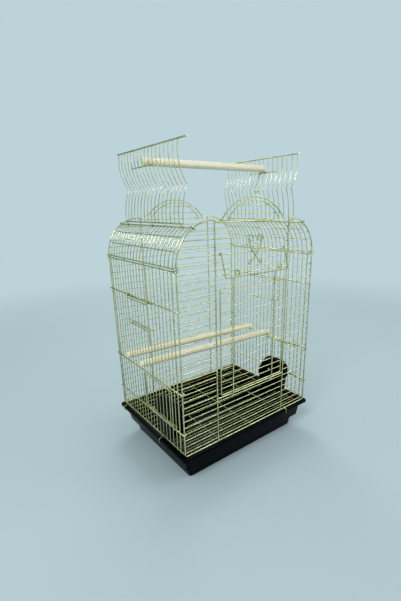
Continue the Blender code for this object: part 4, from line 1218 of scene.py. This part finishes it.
def studioFloor():
    half = studio["floorHalf"]
    mesh = bpy.data.meshes.new("floor")
    corners = [(-half, -half, 0), (half, -half, 0), (half, half, 0), (-half, half, 0)]
    mesh.from_pydata(corners, [], [(0, 1, 2, 3)])
    made, tree, shader = newMaterial("matteBackdropPaper")
    shader.inputs["Base Color"].default_value = toLinear(studio["floor"])
    shader.inputs["Roughness"].default_value = 0.9
    place = addNode(tree, "ShaderNodeTexCoord").outputs["Object"]
    reach = addNode(tree, "ShaderNodeVectorMath", {"operation": "LENGTH"}, {0: place})
    fade = addNode(tree, "ShaderNodeMapRange", {"interpolation_type": "SMOOTHSTEP"}, {
        "Value": reach.outputs["Value"], "From Min": studio["fadeFrom"], "From Max": studio["fadeTo"]})
    amount = addNode(tree, "ShaderNodeMath", {"operation": "MULTIPLY"}, {
        0: fade, 1: seenRays(tree)})
    glow = addNode(tree, "ShaderNodeEmission", None, {"Color": toLinear(studio["background"])})
    mixed = addNode(tree, "ShaderNodeMixShader", None, {
        "Fac": amount, 1: shader, 2: glow})
    output = next(n for n in tree.nodes if n.type == "OUTPUT_MATERIAL")
    tree.links.new(mixed.outputs[0], output.inputs["Surface"])
    mesh.materials.append(made)
    newObject("floor", mesh)


def studioWorld():
    world = bpy.data.worlds.new("studio")
    world.use_nodes = True
    tree = world.node_tree
    tree.nodes.clear()
    lit = addNode(tree, "ShaderNodeBackground", None, {"Color": grey(1.0), "Strength": studio["worldLight"]})
    shown = addNode(tree, "ShaderNodeBackground", None, {"Color": toLinear(studio["background"])})
    mixed = addNode(tree, "ShaderNodeMixShader", None, {
        "Fac": seenRays(tree), 1: lit, 2: shown})
    addNode(tree, "ShaderNodeOutputWorld", None, {"Surface": mixed})
    bpy.context.scene.world = world


def studioLamps():
    for name, (place, target, size, watts) in studio["lamps"].items():
        data = bpy.data.lights.new(name, "AREA")
        data.energy, data.size = watts, size
        lamp = newObject(name, data)
        lamp.location = place
        lamp.rotation_euler = (Vector(target) - Vector(place)).to_track_quat("-Z", "Y").to_euler()


view = {  # from the photograph's perspective: place, turn from +X, pitch down, roll, focal length and shift
    "place": (-0.6258, -0.8263, 0.6896), "turn": 51.08, "pitch": 18.26, "roll": -0.69,
    "focal": 357.5, "imageWidth": 401.0, "sensor": 36.0, "shift": (-0.0561, 0.0656),
}


def makeCamera():
    turn, pitch, roll = (radians(view[key]) for key in ("turn", "pitch", "roll"))
    ahead = Vector((cos(pitch) * cos(turn), cos(pitch) * sin(turn), -sin(pitch)))
    right = ahead.cross(axisZ).normalized()
    up = right.cross(ahead)
    rolledRight = cos(roll) * right + sin(roll) * up
    rolledUp = -sin(roll) * right + cos(roll) * up
    data = bpy.data.cameras.new("camera")
    data.sensor_fit, data.sensor_width = "HORIZONTAL", view["sensor"]
    data.lens = view["focal"] / view["imageWidth"] * view["sensor"]
    data.shift_x, data.shift_y = view["shift"]
    data.clip_start = 0.05
    made = newObject("camera", data)
    axes = Matrix((rolledRight, rolledUp, -ahead)).transposed().to_4x4()
    made.matrix_world = Matrix.Translation(view["place"]) @ axes
    bpy.context.scene.camera = made


studioFloor()
studioWorld()
studioLamps()
makeCamera()
bpy.context.scene.view_settings.view_transform = "Standard"
print("studio made")
